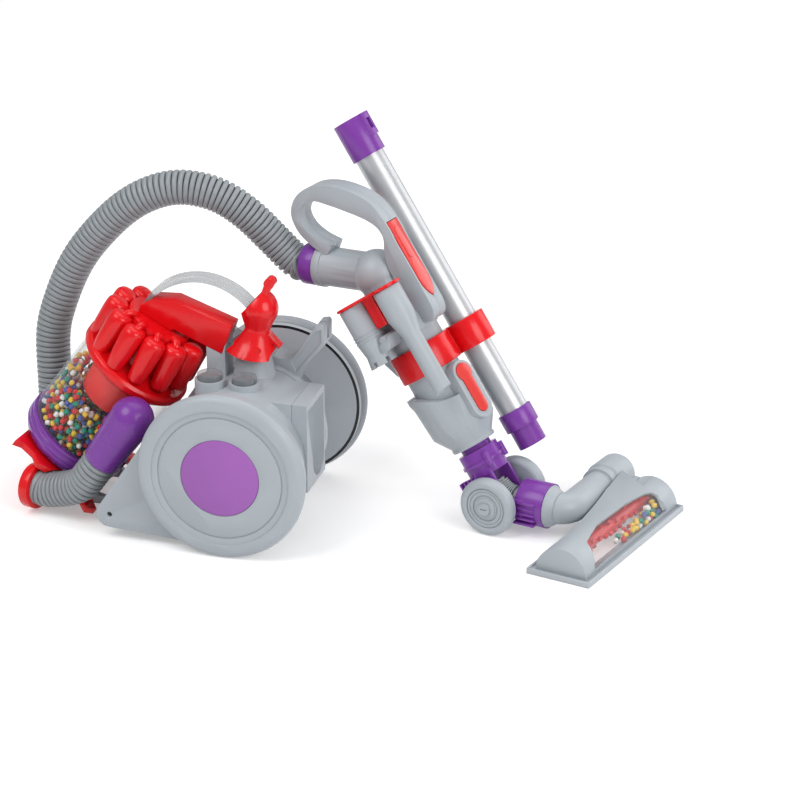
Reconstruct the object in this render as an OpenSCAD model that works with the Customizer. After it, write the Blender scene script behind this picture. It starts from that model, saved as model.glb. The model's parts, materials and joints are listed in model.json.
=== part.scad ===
// Toy vacuum cleaner: a two-wheeled canister with a clear bead bin, a ribbed hose,
// and a wand that stands on its own swivel foot with a floor head.
// Millimetres, +Z up. The canister is drawn about the floor point under its axle.

/* [Road wheels] */
// Diameter of each large wheel
wheel_d = 150; // [140:1:170]
// Width of each large wheel
wheel_w = 14; // [12:0.5:18]
// Width over the outer faces of the large wheels
track_w = 205; // [195:1:230]
// Diameter of the coloured cap in each large wheel
cap_d = 70; // [50:1:90]
// Diameter of the ring groove in each wheel face
groove_d = 111; // [98:1:118]
// Diameter of the wheel axle
axle_d = 8; // [6:0.5:12]

/* [Body] */
// Diameter of the body drum
drum_d = 120; // [112:1:128]
// Distance of the drum's far end from the middle
drum_far = 21; // [18:1:24]
// Diameter of the axle hub beyond the drum
hub_d = 66; // [56:1:72]
// Wall thickness of the housings
wall = 2.4; // [1.8:0.1:3]
// Thickness of each side fairing
fairing_t = 6; // [4:0.5:8]
// Diameter of the fairing behind the wheel
fairing_d = 143; // [136:1:148]
// Distance of the fairing nose ahead of the axle
nose_x = 106; // [98:1:112]
// Height of the fairing nose centre
nose_z = 23; // [20:1:28]
// Radius of the fairing nose
nose_r = 12; // [9:0.5:14]
// Diameter of each push button
button_d = 22; // [16:0.5:24]
// Travel of each push button
button_travel = 3; // [2:0.5:4]
// Width of the dust drawer front
drawer_w = 53; // [46:1:58]
// Height of the dust drawer front
drawer_h = 81; // [70:1:84]
// Thickness of the dust drawer front
drawer_front = 13.5; // [12:0.5:16]
// Distance between the dust drawer tray and the axle
tray_clear = 2.5; // [1:0.5:8]
// Diameter of the front roller
roller_d = 20; // [16:1:24]

/* [Bin] */
// Outer diameter of the clear bin
bin_d = 96; // [88:1:98]
// Wall of the clear bin
bin_wall = 2; // [1.5:0.1:3]
// Length of the clear bin wall
bin_l = 85; // [78:1:90]
// Height of the coloured bin base
base_h = 22; // [18:0.5:24]
// Angle of the bin axis above the floor
bin_angle = 53; // [50:0.5:55]
// Number of cyclone pods round the cap
pods = 12; // [8:1:12]
// Diameter of a pod at its top
pod_d = 18.4; // [14:0.2:18.6]
// Diameter of the tube of a pod loop
loop_d = 6.8; // [6:0.2:8]
// Width of the red top beam
beam_w = 22; // [16:1:24]
// Width of the clear carry handle
carry_w = 13; // [10:0.5:14]
// Thickness of the clear carry handle
carry_t = 6; // [4:0.5:8]
// Diameter of a loose bead
bead_d = 5; // [3:0.5:6]

/* [Hoses] */
// Outer diameter of the ribbed hoses
hose_d = 29; // [26:0.5:30]
// Bore of the ribbed hoses
hose_bore = 22; // [18:0.5:23]
// Depth of the grooves between the ribs
rib_depth = 1.6; // [1:0.1:2]
// Length of each rib along the hose
rib_pitch = 4.9; // [4.5:0.1:7]

/* [Wand] */
// Distance of the wand foot behind the canister axle
wand_x = 216; // [205:1:260]
// Distance of the wand foot to the far side
wand_y = 36; // [30:1:45]
// Angle of the wand plane to the canister
wand_yaw = 15; // [10:1:20]
// Lean of the wand from upright
wand_lean = 35; // [32:1:37]
// Diameter of each foot wheel
foot_d = 52; // [46:1:56]
// Width of each foot wheel
foot_w = 13; // [9:0.5:15]
// Distance between the middles of the foot wheels
foot_track = 56; // [55:1:66]
// Diameter of the wand barrel
barrel_d = 50; // [46:1:53]
// Diameter of the cup at the foot of the barrel
cup_d = 65; // [60:1:66]
// Diameter of the hose elbow ball
ball_d = 43; // [41:0.5:45]
// Outer diameter of the hose tube on the elbow
elbow_d = 35; // [34.5:0.5:38]
// Width of the moulded handle
grip_w = 21; // [19:1:24]
// Outer diameter of the extension tube
tube_d = 27; // [24:0.5:28]
// Wall of the extension tube
tube_wall = 1.7; // [1.2:0.1:2.5]
// Outer diameter of the extension tube's end sockets
socket_d = 31.7; // [30.5:0.1:33]
// Length of the clear extension tube between its sockets
tube_l = 273; // [240:1:285]
// Height of the red clip band
band_h = 26; // [18:1:28]
// Outer diameter of the crevice tool
crevice_d = 25.6; // [22:0.2:27]
// Outer diameter of the brush tool
brush_d = 26; // [23:0.2:27]

/* [Floor head] */
// Length of the floor head plate
head_l = 184; // [170:1:200]
// Depth of the floor head plate
head_w = 60; // [56:1:66]
// Thickness of the floor head plate
sole_t = 3.5; // [2.5:0.5:4.5]
// Radius of the rounded head shell
shell_r = 24; // [22:0.5:25]
// Diameter of the brush bar
bar_d = 16; // [12:0.5:18]
// Number of tooth rings on the brush bar
tooth_rings = 14; // [8:1:16]

/* [Fits] */
// Radial running clearance of a shaft in its hole
run = 0.05; // [0.02:0.01:0.09]
// Clearance between pieces that move past each other
gap = 0.3; // [0.2:0.05:0.4]
// Clearance between fixed pieces that nest in each other
nest = 0.1; // [0.05:0.05:0.2]

/* [Hidden] */
$fn = 64;

grey = "#aeb4b9";
red = "#e31e26";
purple = "#7b3f96";
clear = [0.85, 0.88, 0.9, 0.45];

axle_z = wheel_d / 2;
axle_r = axle_d / 2;
drum_r = drum_d / 2;
wheel_y = track_w / 2 - wheel_w;
fairing_y = wheel_y - gap - fairing_t;
drum_y = fairing_y;
screw_r = 2.4;
button_r = button_d / 2;
boss_r = button_r + wall;
boss_top = axle_z + drum_r + 4.5;
button_y = -38;
button_x = [-28, 3];
button_h = 14;

drawer_y0 = -48;
drawer_z0 = axle_z - 29;
drawer_x1 = drum_r + 2;
drawer_x0 = drawer_x1 - drawer_front;
drawer_tray = drawer_x0 - axle_r - tray_clear;
pull_r = 16;
pull_deep = 9;
door_y = (drum_far - drum_y) / 2;
seam_y = drum_far - 12;
seam_w = 4;
seam_deep = 1.4;
pan_z = nose_z - 6;
pan_x0 = -nose_x - 6;
roller_x = -nose_x + 2;
roller_pin_r = 2.5;

base_x = -175.7;
base_z = 43.4;
bin_r = bin_d / 2;
bin_bottom = base_h;
flange_d0 = base_h + bin_l;
flange_t = 9;
flange_r = bin_r + 3.5;
crown_z = flange_d0 + flange_t;
crown_h = 44;
crown_lean = 8;
pod_z = 3;
pod_h = 36;
pod_ring = bin_r - 8.5;
loop_r = 7.75;
yoke_t = 6;

carry_c = [-47, 157];
carry_r = 60;
curl_r = 16;
lever_z0 = axle_z + drum_r + 19;
lever_lean = 8;
lever_pin = [9, lever_z0 + 6];
lever_pin_r = 2.5;

elbow_r = 17;
elbow_y = -63;
elbow_top = [-91.7, 104.5];
elbow_len = 52;
elbow_cap = 19.5;
elbow_dir = bin_angle + 2;

pivot_z = foot_d / 2;
barrel_r = barrel_d / 2;
cup_r = cup_d / 2;
cup_s0 = 52;
cup_s1 = 111;
barrel_s0 = 92;
shoulder_s = 163;
shoulder_r = barrel_r + 1.6;
neck_s = 200;
neck_r = 19.5;
ball_s = 224;
ball_r = ball_d / 2;
tube_tilt = 3;
cuff_s = 57.5;
cuff_l = 14;
ring_s = 7;
ring_r = elbow_d / 2 + 1.3;
spigot_r = elbow_d / 2 - 2.1;
band_s = 126;
plate_s = 210;
plate_t = 2.5;
tool_y = -41;
crevice_x = 30;
brush_x = -11;
ext_x = 26;
ext_y = 41;
ext_s = 52;
ext_r = tube_d / 2;
socket_r = socket_d / 2;
socket_l = 27.7;
collar_l = 9;
spig_l = 18;
grip_h = grip_w / 2;
rocker_w = 16;
rocker_s0 = 202;
rocker_s1 = 258;
rocker_s = 236;
rocker_pin_r = 2;
latch_x = cup_r + 3.2;
latch_turn = 14;
latch_s0 = 80;
latch_l = 33;
latch_pin_s = 92;

swivel_pin_r = 3;
cheek_y = 12.5;
cheek_t = 3;
lug_y = cheek_y + cheek_t + 0.5;
lug_t = 3.5;
lug_r = 10;
foot_y0 = foot_track / 2 - foot_w / 2;
foot_y1 = foot_track / 2 + foot_w / 2;
sleeve_x0 = 21;
sleeve_x1 = 47;
sleeve_r = 20;
sleeve_bore = 15;
neck_x = 62.5;
neck_z = 25;
neck_pipe_r = 14;
neck_end = 101;
head_y1 = head_l / 2 + 10;
head_y0 = head_y1 - head_l;
head_x0 = 67;
shell_x = head_x0 + head_w / 2;
shell_y0 = head_y0 + 6;
shell_y1 = head_y1 - 2;
bar_z = sole_t + 10.5;
sleeve_y0 = 70;

// Box of the object without its hoses, which puts the part's origin under its middle.
function yawed(p) = [wand_x + p.x * cos(wand_yaw) + p.y * sin(wand_yaw),
    wand_y - p.x * sin(wand_yaw) + p.y * cos(wand_yaw)];
yoke_far = [-210, 58];
collar_r = hose_d / 2 + 3.5;
box_x0 = yoke_far.x - collar_r;
box_x1 = yawed([head_x0 + head_w, head_y1]).x;
box_y0 = -track_w / 2;
box_y1 = yawed([ext_x * cos(wand_lean) - (ext_s + tube_l + socket_l) * sin(wand_lean), ext_y]).y
    + socket_r * sqrt(1 - pow(sin(wand_lean) * sin(wand_yaw), 2));
part_shift = [-(box_x0 + box_x1) / 2, -(box_y0 + box_y1) / 2, 0];

// Frames: the canister, the wand on the floor, along the wand, and along the bin.
module canister() { translate(part_shift) children(); }
module wand() { canister() translate([wand_x, wand_y, 0]) rotate([0, 0, -wand_yaw]) children(); }
module along_wand() { wand() translate([0, 0, pivot_z]) rotate([0, -wand_lean, 0]) children(); }
module in_bin() { translate([base_x, 0, base_z]) rotate([0, 90 - bin_angle, 0]) children(); }
module along_bin() { canister() in_bin() children(); }
module along_elbow() {
    along_wand() translate([0, 0, ball_s]) rotate([0, wand_lean - 90 - tube_tilt, 0]) children();
}

// Shared shapes.
module y_cyl(r, y0, y1) { translate([0, y0, 0]) rotate([-90, 0, 0]) cylinder(r = r, h = y1 - y0); }
module x_cyl(r, x0, x1) { translate([x0, 0, 0]) rotate([0, 90, 0]) cylinder(r = r, h = x1 - x0); }
module xz_slab(y0, y1) { translate([0, y1, 0]) rotate([90, 0, 0]) linear_extrude(y1 - y0) children(); }
module box(lo, hi) { translate(lo) cube(hi - lo); }
module rod(p, q, r) {
    v = q - p;
    translate(p) rotate([0, acos(v.z / norm(v)), atan2(v.y, v.x)]) cylinder(r = r, h = norm(v));
}
function arc(c, r, a0, a1, n) =
    [for (i = [0:n]) c + r * [cos(a0 + (a1 - a0) * i / n), sin(a0 + (a1 - a0) * i / n)]];
function mix(a, b, t) = a * (1 - t) + b * t;
// Catmull-Rom curve through hand-chosen points, n steps to each span.
function spline_at(p, i, t) =
    let (m = len(p) - 1, a = p[max(i - 1, 0)], b = p[i], c = p[min(i + 1, m)], d = p[min(i + 2, m)])
    0.5 * (2 * b + (c - a) * t + (2 * a - 5 * b + 4 * c - d) * t * t + (3 * b - a - 3 * c + d) * t * t * t);
function spline(p, n) =
    concat([for (i = [0:len(p) - 2], k = [0:n - 1]) spline_at(p, i, k / n)], [p[len(p) - 1]]);
// Outline of a band whose centre line and half width are given as [x, z, half].
function band_side(c, s) = [for (i = [0:len(c) - 1])
    let (a = c[max(i - 1, 0)], b = c[min(i + 1, len(c) - 1)], v = [b.x - a.x, b.y - a.y], u = v / norm(v))
    [c[i].x, c[i].y] + s * c[i].z * [-u.y, u.x]];
function reversed(p) = [for (i = [len(p) - 1:-1:0]) p[i]];
function band_outline(c) = concat(band_side(c, 1), reversed(band_side(c, -1)));

// Large wheels.
module road_wheel() {
    lip = wheel_w / 2;
    face = wheel_w - 1.5;
    rotate([-90, 0, 0]) rotate_extrude($fn = 128) difference() {
        union() {
            translate([wheel_d / 2 - lip, lip]) circle(lip, $fn = 48);
            translate([axle_r + run, 0]) square([wheel_d / 2 - lip - axle_r - run, face]);
            translate([groove_d / 2 + 6, 0]) square([wheel_d / 2 - lip - groove_d / 2 - 6, wheel_w]);
        }
        translate([groove_d / 2 - 0.6, face - 1]) square([1.2, 4]);
        translate([0, face - 2]) square([cap_d / 2 + nest, 4]);
    }
}
module wheel_cap() {
    face = wheel_w - 1.5;
    translate([0, face - 2, 0]) rotate([-90, 0, 0]) rotate_extrude()
        polygon([[0, 0], [cap_d / 2, 0], [cap_d / 2, 1.8], [cap_d / 2 - 0.8, 2.4], [0, 3]]);
}
module at_wheel(side) {
    canister() translate([0, 0, axle_z]) mirror([0, side < 0 ? 1 : 0, 0]) translate([0, wheel_y, 0]) children();
}
module near_wheel() { color(grey) at_wheel(-1) road_wheel(); }
module far_wheel() { color(grey) at_wheel(1) road_wheel(); }
module near_cap() { color("#a570ae") at_wheel(-1) wheel_cap(); }
module far_cap() { color("#a570ae") at_wheel(1) wheel_cap(); }
module wheel_axle() {
    y1 = wheel_y + wheel_w - 3.5 - gap;
    color("silver") canister() translate([0, 0, axle_z]) y_cyl(axle_r, -y1, y1);
}

// Side fairings: a disc behind the wheel drawn out to a round nose.
module fairing_outline() {
    big = [0, axle_z];
    nose = [-nose_x, nose_z];
    v = nose - big;
    a = atan2(v.y, v.x);
    o = acos((fairing_d / 2 - nose_r) / norm(v));
    polygon(concat(arc(big, fairing_d / 2, a + o, a + 360 - o, 60), arc(nose, nose_r, a - o, a + o, 16)));
}
module fairing() {
    difference() {
        xz_slab(fairing_y, fairing_y + fairing_t) fairing_outline();
        translate([0, 0, axle_z]) y_cyl(axle_r + nest, 0, track_w);
        translate([-nose_x, 0, nose_z]) y_cyl(screw_r, fairing_y + 2, track_w);
    }
}
module near_fairing() { color(grey) canister() mirror([0, 1, 0]) fairing(); }
module far_fairing() { color(grey) canister() fairing(); }

module case_screw() {
    translate([-nose_x, 0, nose_z]) difference() {
        y_cyl(screw_r - nest, fairing_y + 2, fairing_y + 4);
        for (a = [0, 90]) rotate([0, a, 0]) box([-1.5, fairing_y + 3.2, -0.3], [1.5, fairing_y + 9, 0.3]);
    }
}
module case_screws() {
    color("#4a4e52") canister() {
        case_screw();
        mirror([0, 1, 0]) case_screw();
    }
}

// Body drum with its deck, button bosses, lever post and drawer housing.
module drum_solid() { translate([0, 0, axle_z]) y_cyl(drum_r, -drum_y, drum_far); }
module beam_side(w) {
    xz_slab(-w / 2, w / 2) polygon([[-104, 176], [-100, 190], [-88, 195.5], [-69.5, 196.5], [-17, 177.5],
        [-26, 151.5], [-70, 170], [-80, 165]]);
}
module bosses(r, z0, z1) {
    for (x = button_x) translate([x, button_y, z0]) cylinder(r = r, h = z1 - z0);
}
module door_box(c, t0, t1) {
    translate([0, door_y, axle_z - drum_r]) box([-26 - c, -34 - c, t0], [26 + c, 34 + c, t1]);
}
module body_shell() {
    top = axle_z + drum_r;
    color(grey) canister() difference() {
        union() {
            difference() {
                union() {
                    drum_solid();
                    translate([0, 0, axle_z]) y_cyl(hub_d / 2, drum_far - 1, drum_y);
                }
                translate([0, 0, axle_z]) {
                    y_cyl(drum_r - wall, wall - drum_y, drum_far - wall);
                    y_cyl(hub_d / 2 - wall, drum_far - wall - 1, drum_y - wall);
                    difference() {
                        y_cyl(drum_r + 1, seam_y, seam_y + seam_w);
                        y_cyl(drum_r - seam_deep, seam_y - 1, seam_y + seam_w + 1);
                    }
                }
            }
            box([0, drawer_y0, drawer_z0], [drawer_x0 - gap, drawer_y0 + drawer_w, drawer_z0 + drawer_h]);
            bosses(boss_r, top - 24, boss_top);
            difference() {
                box([-40, -beam_w / 2, top - 14], [-23, beam_w / 2, top + 40]);
                beam_side(beam_w + 2);
                box([-60, -30, top + 30], [0, 30, top + 90]);
            }
            translate([0, 0, top - 9]) cylinder(r1 = drum_far - 1, r2 = 15, h = lever_z0 - 4 - top + 9);
            box([lever_pin.x - 4.5, -6, top - 9], [lever_pin.x + 4.5, 6, lever_pin.y + 3.5]);
        }
        box([-drawer_tray + drawer_x0, drawer_y0 + wall, drawer_z0 + wall],
            [drawer_x1 + 10, drawer_y0 + drawer_w - wall, drawer_z0 + drawer_h - wall]);
        box([drawer_x0 - gap, drawer_y0 - gap, drawer_z0 - gap],
            [drawer_x1 + 10, drawer_y0 + drawer_w + gap, drawer_z0 + drawer_h + gap]);
        bosses(button_r + run, boss_top - button_h + 2, boss_top + 9);
        bosses(button_r - 3, top - 40, boss_top);
        translate([lever_pin.x, 0, lever_pin.y]) y_cyl(lever_pin_r + run, -20, 20);
        door_box(nest, -10, 12);
        translate([0, 0, axle_z]) y_cyl(axle_r + nest, -track_w, track_w);
    }
}
module battery_door() {
    color(grey) canister() difference() {
        intersection() {
            door_box(0, 0, 10);
            union() {
                difference() {
                    drum_solid();
                    translate([0, 0, axle_z]) y_cyl(drum_r - wall, -track_w, track_w);
                }
                for (y = [-22, 0, 22]) translate([0, door_y + y, axle_z - drum_r])
                    box([-20, -1.5, 0], [20, 1.5, 6]);
            }
        }
        for (x = [-9, 9]) translate([x, 0, axle_z - drum_r + 6 + 5.5]) y_cyl(7.2 + gap, -track_w, track_w);
    }
}
module batteries() {
    color("#6d7275") canister() for (x = [-9, 9]) translate([x, door_y, axle_z - drum_r + 11.5]) {
        y_cyl(7.2, -25, 25);
        y_cyl(2.6, -26.5, -24);
    }
}
module front_button() { color(clear) canister() translate([button_x[0], button_y, 0]) button_cap(); }
module rear_button() { color(clear) canister() translate([button_x[1], button_y, 0]) button_cap(); }
module button_cap() {
    z0 = boss_top - button_h + 2 + button_travel + gap;
    difference() {
        translate([0, 0, z0]) cylinder(r = button_r, h = button_h);
        translate([0, 0, z0 - 1]) cylinder(r = button_r - 2, h = button_h - 1.4);
    }
}
module dust_drawer() {
    inner = wall + gap;
    y0 = drawer_y0 + inner;
    y1 = drawer_y0 + drawer_w - inner;
    z0 = drawer_z0 + inner;
    pull_z = drawer_z0 + 20;
    pull_top = drawer_z0 + drawer_h - 6;
    pull_c = [drawer_y0 + drawer_w - pull_r - 3, pull_z];
    color(grey) canister() difference() {
        union() {
            box([drawer_x0, drawer_y0, drawer_z0], [drawer_x1, drawer_y0 + drawer_w, drawer_z0 + drawer_h]);
            box([drawer_x0 - drawer_tray + gap, y0, z0], [drawer_x0 + 1, y1, drawer_z0 + drawer_h - 22]);
        }
        box([drawer_x0 - drawer_tray + gap + wall, y0 + wall, z0 + wall],
            [drawer_x0 - gap, y1 - wall, drawer_z0 + drawer_h]);
        translate([drawer_x1 - pull_deep, 0, 0]) rotate([90, 0, 90]) linear_extrude(pull_deep + 5)
            polygon(concat([[drawer_y0 + 2, pull_top]], arc(pull_c, pull_r, 180, 360, 24),
                [[pull_c.x + pull_r, pull_top]]));
    }
}
function above(z, pts) = [for (p = pts) [p.x, z + p.y]];
module parking_bracket() {
    slope = axle_z + drum_r;
    y0 = drum_far + nest;
    y1 = drum_far + 24;
    mid = (y0 + y1) / 2;
    side = [[10, -20], [10, 6.5], [16.4, 4.8], [21.5, 4.9], [27.4, 6.9], [31.7, 11.2], [36, 17.8], [42.1, 27.1],
        [47.2, 35], [50, 38.5], [56, 39.5], [57.5, 37], [57.3, 21], [44, 5], [33, -10], [30, -20]];
    panel = [[44.5, 26], [49.5, 33], [54, 35], [54, 22.5], [42, 7.5], [31.5, -6.5], [26.5, 2.5], [33.5, 9.5]];
    color(grey) canister() difference() {
        xz_slab(y0, y1) polygon(above(slope, side));
        xz_slab(mid - 2.5, mid + 2.5) translate([48, slope + 24]) square([22, 36]);
        xz_slab(y0 - 1, y0 + 1) polygon(above(slope, panel));
    }
}

// Floor pan with the roller fork and the rails that carry the bin's yoke.
function seat_z(x) = base_z - (yoke_t + (x - base_x) * cos(bin_angle)) / sin(bin_angle);
module base_pan() {
    ear = [20, 24];
    color(grey) canister() difference() {
        union() {
            difference() {
                box([pan_x0, -fairing_y, pan_z], [-40, fairing_y, pan_z + 3]);
                drum_solid();
            }
            for (s = [-1, 1]) {
                xz_slab(min(s * ear[0], s * ear[1]), max(s * ear[0], s * ear[1]))
                    polygon([[roller_x - 7, pan_z], [roller_x + 7, pan_z], [roller_x + 5, roller_d / 2 - 4.5],
                        [roller_x - 5, roller_d / 2 - 4.5]]);
                xz_slab(min(s * 26, s * 32), max(s * 26, s * 32))
                    polygon([[pan_x0 + 12, pan_z], [pan_x0 + 12, pan_z + 3], [pan_x0, pan_z + 3], [-128, 11],
                        [-150, seat_z(-150)], [-168, seat_z(-168)], [-168, 5], [pan_x0, 5]]);
            }
        }
        translate([roller_x, 0, roller_d / 2]) y_cyl(roller_pin_r + run, -40, 40);
        translate([roller_x, 0, roller_d / 2]) y_cyl(roller_d / 2 + 2 * gap, -ear[0], ear[0]);
    }
}
module front_roller() {
    color("#5c6166") canister() translate([roller_x, 0, roller_d / 2]) {
        y_cyl(roller_d / 2, gap - 20, 20 - gap);
        y_cyl(roller_pin_r, -24, 24);
    }
}

// Bin, beads, whirl fan and cyclone cap, drawn along the bin's axis.
module bin_base() {
    r = bin_r + 1.5;
    color(purple) along_bin() rotate_extrude($fn = 96) difference() {
        polygon([[2, 0], [r - 10, 0], [r - 4, 3], [r - 0.5, 9], [r, base_h - 11], [r - 1, base_h - 10.2],
            [r, base_h - 9.4], [r, base_h - 5], [r - 1, base_h - 4.2], [r, base_h - 3.4], [r, base_h],
            [bin_r - bin_wall - nest - 2, base_h], [bin_r - bin_wall - nest - 6, 4], [2, 4]]);
        square([1.6 + run, 60], center = true);
    }
}
module bin_cylinder() {
    color(clear) along_bin() difference() {
        translate([0, 0, bin_bottom]) cylinder(r = bin_r, h = bin_l, $fn = 96);
        translate([0, 0, bin_bottom - 1]) cylinder(r = bin_r - bin_wall, h = bin_l + 2, $fn = 96);
    }
}
module bin_beads() {
    rows = 5;
    step = 360 / 12;
    ring = bin_r - bin_wall - bead_d / 2 - gap;
    color("gold") along_bin() for (k = [0:rows - 1], i = [0:11])
        rotate([0, 0, i * step + k * 13]) translate([ring, 0, base_h + 4 + k * 8]) sphere(bead_d / 2, $fn = 24);
}
module whirl_fan() {
    color("#c9ced2") along_bin() union() {
        translate([0, 0, -8]) cylinder(r = 1.5, h = 16);
        translate([0, 0, 5]) cylinder(r = 9, h = 5);
        for (i = [0:5]) rotate([0, 0, 60 * i]) box([6, -1, 5], [34, 1, 11]);
    }
}
module drive_motor() {
    color("#8d9296") along_bin() difference() {
        translate([0, 0, -22]) cylinder(r = 11, h = 22);
        translate([0, 0, -10]) cylinder(r = 1.5 + run, h = 20);
    }
}
module cyclone_shroud() {
    color(red) along_bin() rotate_extrude($fn = 96)
        polygon([[0, flange_d0 - 41], [27, flange_d0 - 41], [32, flange_d0], [32 - wall, flange_d0],
            [27 - wall, flange_d0 - 41 + wall], [0, flange_d0 - 41 + wall]]);
}
module in_crown() { translate([0, 0, crown_z]) rotate([0, -crown_lean, 0]) children(); }
module cyclone_cap() {
    core_r = pod_ring - 6.5;
    spig = bin_r - bin_wall - nest;
    tip = pod_d / 4;
    pod = concat([[0, 0]], arc([0, tip], tip, -75, -15, 5),
        [[pod_d / 2, pod_h - 3], [pod_d / 2 - 2.4, pod_h], [0, pod_h]]);
    color(red) along_bin() union() {
        rotate_extrude($fn = 96) polygon([[0, flange_d0], [spig - 2, flange_d0], [spig - 2, flange_d0 - 4],
            [spig, flange_d0 - 4], [spig, flange_d0], [flange_r - 1.5, flange_d0], [flange_r, flange_d0 + 1.5],
            [flange_r, crown_z - 2.5], [flange_r - 2.5, crown_z], [bin_r - 3, crown_z],
            [core_r + 2, crown_z + 7], [0, crown_z + 7]]);
        in_crown() {
            rotate_extrude($fn = 96) polygon([[0, 1], [core_r, 1], [core_r - 3, crown_h], [0, crown_h]]);
            for (a = [180 / pods:360 / pods:359]) rotate([0, 0, a]) {
                translate([pod_ring, 0, pod_z]) rotate_extrude($fn = 32) polygon(pod);
                if (abs(sin(a)) > 0.4) translate([pod_ring - loop_r, 0, pod_z + pod_h - 2]) rotate([90, 0, 0])
                    rotate_extrude(angle = 180, $fn = 48) translate([loop_r, 0]) circle(loop_d / 2, $fn = 24);
            }
        }
    }
}
module below_crown() { in_bin() in_crown() translate([-150, -150, crown_h - 200]) cube([300, 300, 200]); }
module top_beam() {
    color(red) canister() difference() {
        beam_side(beam_w);
        below_crown();
    }
}
module carry_handle() {
    turn = 30;
    tip = 150;
    curl_c = carry_c + (carry_r - curl_r) * [cos(turn), sin(turn)];
    half = carry_t / 2;
    arch = [for (a = [tip:-5:turn])
        [carry_c.x + carry_r * cos(a), carry_c.y + carry_r * sin(a), half * min(1, 0.3 + (tip - a) / 30)]];
    curl = [for (a = [turn - 8:-8:-150])
        [curl_c.x + curl_r * cos(a), curl_c.y + curl_r * sin(a), half * (a < -100 ? 1.6 : 1)]];
    color(clear) canister() difference() {
        xz_slab(-carry_w / 2, carry_w / 2) polygon(band_outline(concat(arch, curl)));
        beam_side(beam_w + 5);
        below_crown();
    }
}

// Release lever: a flared bell, open towards the handle, with a curled thumb tab.
module release_lever() {
    z = lever_z0;
    skin = 2.4;
    side = [[25, 0, 0], [22, 4, 0], [16, 12, 0], [12.3, 20, 0], [12, 24, 0], [14.5, 31, 0], [16.6, 38, 0],
        [16, 45, 0], [12, 52, 0], [6, 57, 0], [3.5, 59, 0]];
    front = [[-60, 26], [-16, 29], [-12.5, 32], [10, 57], [10, 100], [-60, 100]];
    thorn = [[14, 18], [19, 13], [25.5, 6.5], [20, 8.5], [14.5, 11]];
    curve = [for (p = spline(side, 3)) [p.x, p.y]];
    inside = [for (p = reversed(curve)) if (p.y < 56) p - [skin, 0]];
    color(red) canister() difference() {
        union() {
            difference() {
                translate([0, 0, z]) rotate([0, lever_lean, 0]) rotate_extrude($fn = 96)
                    polygon(concat(curve, [[0, 59.8], [0, 57]], inside));
                xz_slab(-60, 60) polygon(above(z, front));
            }
            translate([lever_pin.x, 0, lever_pin.y]) y_cyl(lever_pin_r, -18, 18);
            xz_slab(-5.5, 5.5) polygon(concat(arc([15.8, z + 64.6], 4.6, -60, 200, 20),
                [[9.8, z + 58], [9, z + 54], [13, z + 51], [15, z + 55]]));
            xz_slab(-5, 5) polygon(above(z, thorn));
        }
        box([-60, -beam_w / 2 - 1.5, z - 6], [-15, beam_w / 2 + 1.5, z + 16]);
        box([-60, -carry_w / 2 - 1.5, z + 2], [-3, carry_w / 2 + 1.5, z + 60]);
        translate([27, 0, z - 2]) y_cyl(9, -30, 30);
    }
}

// Inlet elbow beside the bin, and the red yoke that the hoses plug into.
elbow_axis = [cos(elbow_dir), 0, sin(elbow_dir)];
elbow_low = [elbow_top.x, elbow_y, elbow_top.y] - elbow_len * elbow_axis;
hose_seat = 13;
module along_inlet() { canister() translate(elbow_low) rotate([0, 90 - elbow_dir, 0]) children(); }
module inlet_elbow() {
    color(purple) difference() {
        union() {
            along_inlet() rotate_extrude()
                polygon(concat([[0, 0], [elbow_r - 1, 0], [elbow_r - 0.5, 4]],
                    arc([0, elbow_len], elbow_cap, 0, 90, 16)));
            canister() rod(elbow_low + (elbow_len - 20) * elbow_axis, [-146, 0, 98], 9);
        }
        along_inlet() translate([0, 0, -1]) cylinder(r = hose_d / 2 + 2 * nest, h = hose_seat + 1 + nest);
        along_inlet() cylinder(r = hose_bore / 2, h = 40);
        along_bin() translate([0, 0, -50]) cylinder(r = bin_r, h = 300, $fn = 96);
        along_bin() translate([0, 0, flange_d0 - gap]) cylinder(r = flange_r + 0.5, h = 60, $fn = 96);
    }
}
near_mouth = [-186, -49, 23];
near_seat = 6;
near_l = 9;
short_mid = [-144, -60, 34];
near_dir = [cos(wand_yaw), -sin(wand_yaw), 0];
far_mouth = [yoke_far.x, yoke_far.y, 36];
module front_yoke() {
    wing = [[-38, -51], [-30, -45.5], [-17, -47], [-9, -55], [6, -50], [28, -60], [41, -56], [49, -62],
        [56, -54], [39, -36], [22, -24], [-22, -20], [-36, -19]];
    color(red) canister() difference() {
        union() {
            in_bin() translate([0, 0, -yoke_t]) {
                linear_extrude(yoke_t) polygon(wing);
                mirror([0, 1, 0]) linear_extrude(yoke_t) polygon(wing);
                linear_extrude(yoke_t) translate([-24, -26]) square([46, 52]);
            }
            rod(near_mouth - near_l * near_dir, near_mouth, collar_r + 2);
            translate([far_mouth.x, far_mouth.y, far_mouth.z - 26]) cylinder(r = collar_r, h = 26);
            rod([-191, -46, 20], [far_mouth.x, far_mouth.y, 20], 9);
            for (y = [-25, 25]) rod([-204, y, 20], [base_x - 2, y, base_z - 3], 5.5);
        }
        in_bin() cylinder(r = bin_r + 6, h = 60);
        in_bin() translate([0, 0, -40]) cylinder(r = 11 + nest, h = 60);
        rod(near_mouth - near_seat * near_dir, near_mouth + 10 * near_dir, hose_d / 2 + nest);
        rod(near_mouth, near_mouth + 14 * near_dir, hose_d / 2 + 1);
        rod(near_mouth + 13 * near_dir, short_mid, hose_d / 2 + 2.5);
        rod(short_mid, elbow_low, hose_d / 2 + 2.5);
        translate(far_mouth - [0, 0, hose_seat]) cylinder(r = hose_d / 2 + nest, h = 40);
        translate(far_mouth) cylinder(r = hose_d / 2 + 3, h = 60);
    }
}

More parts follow.
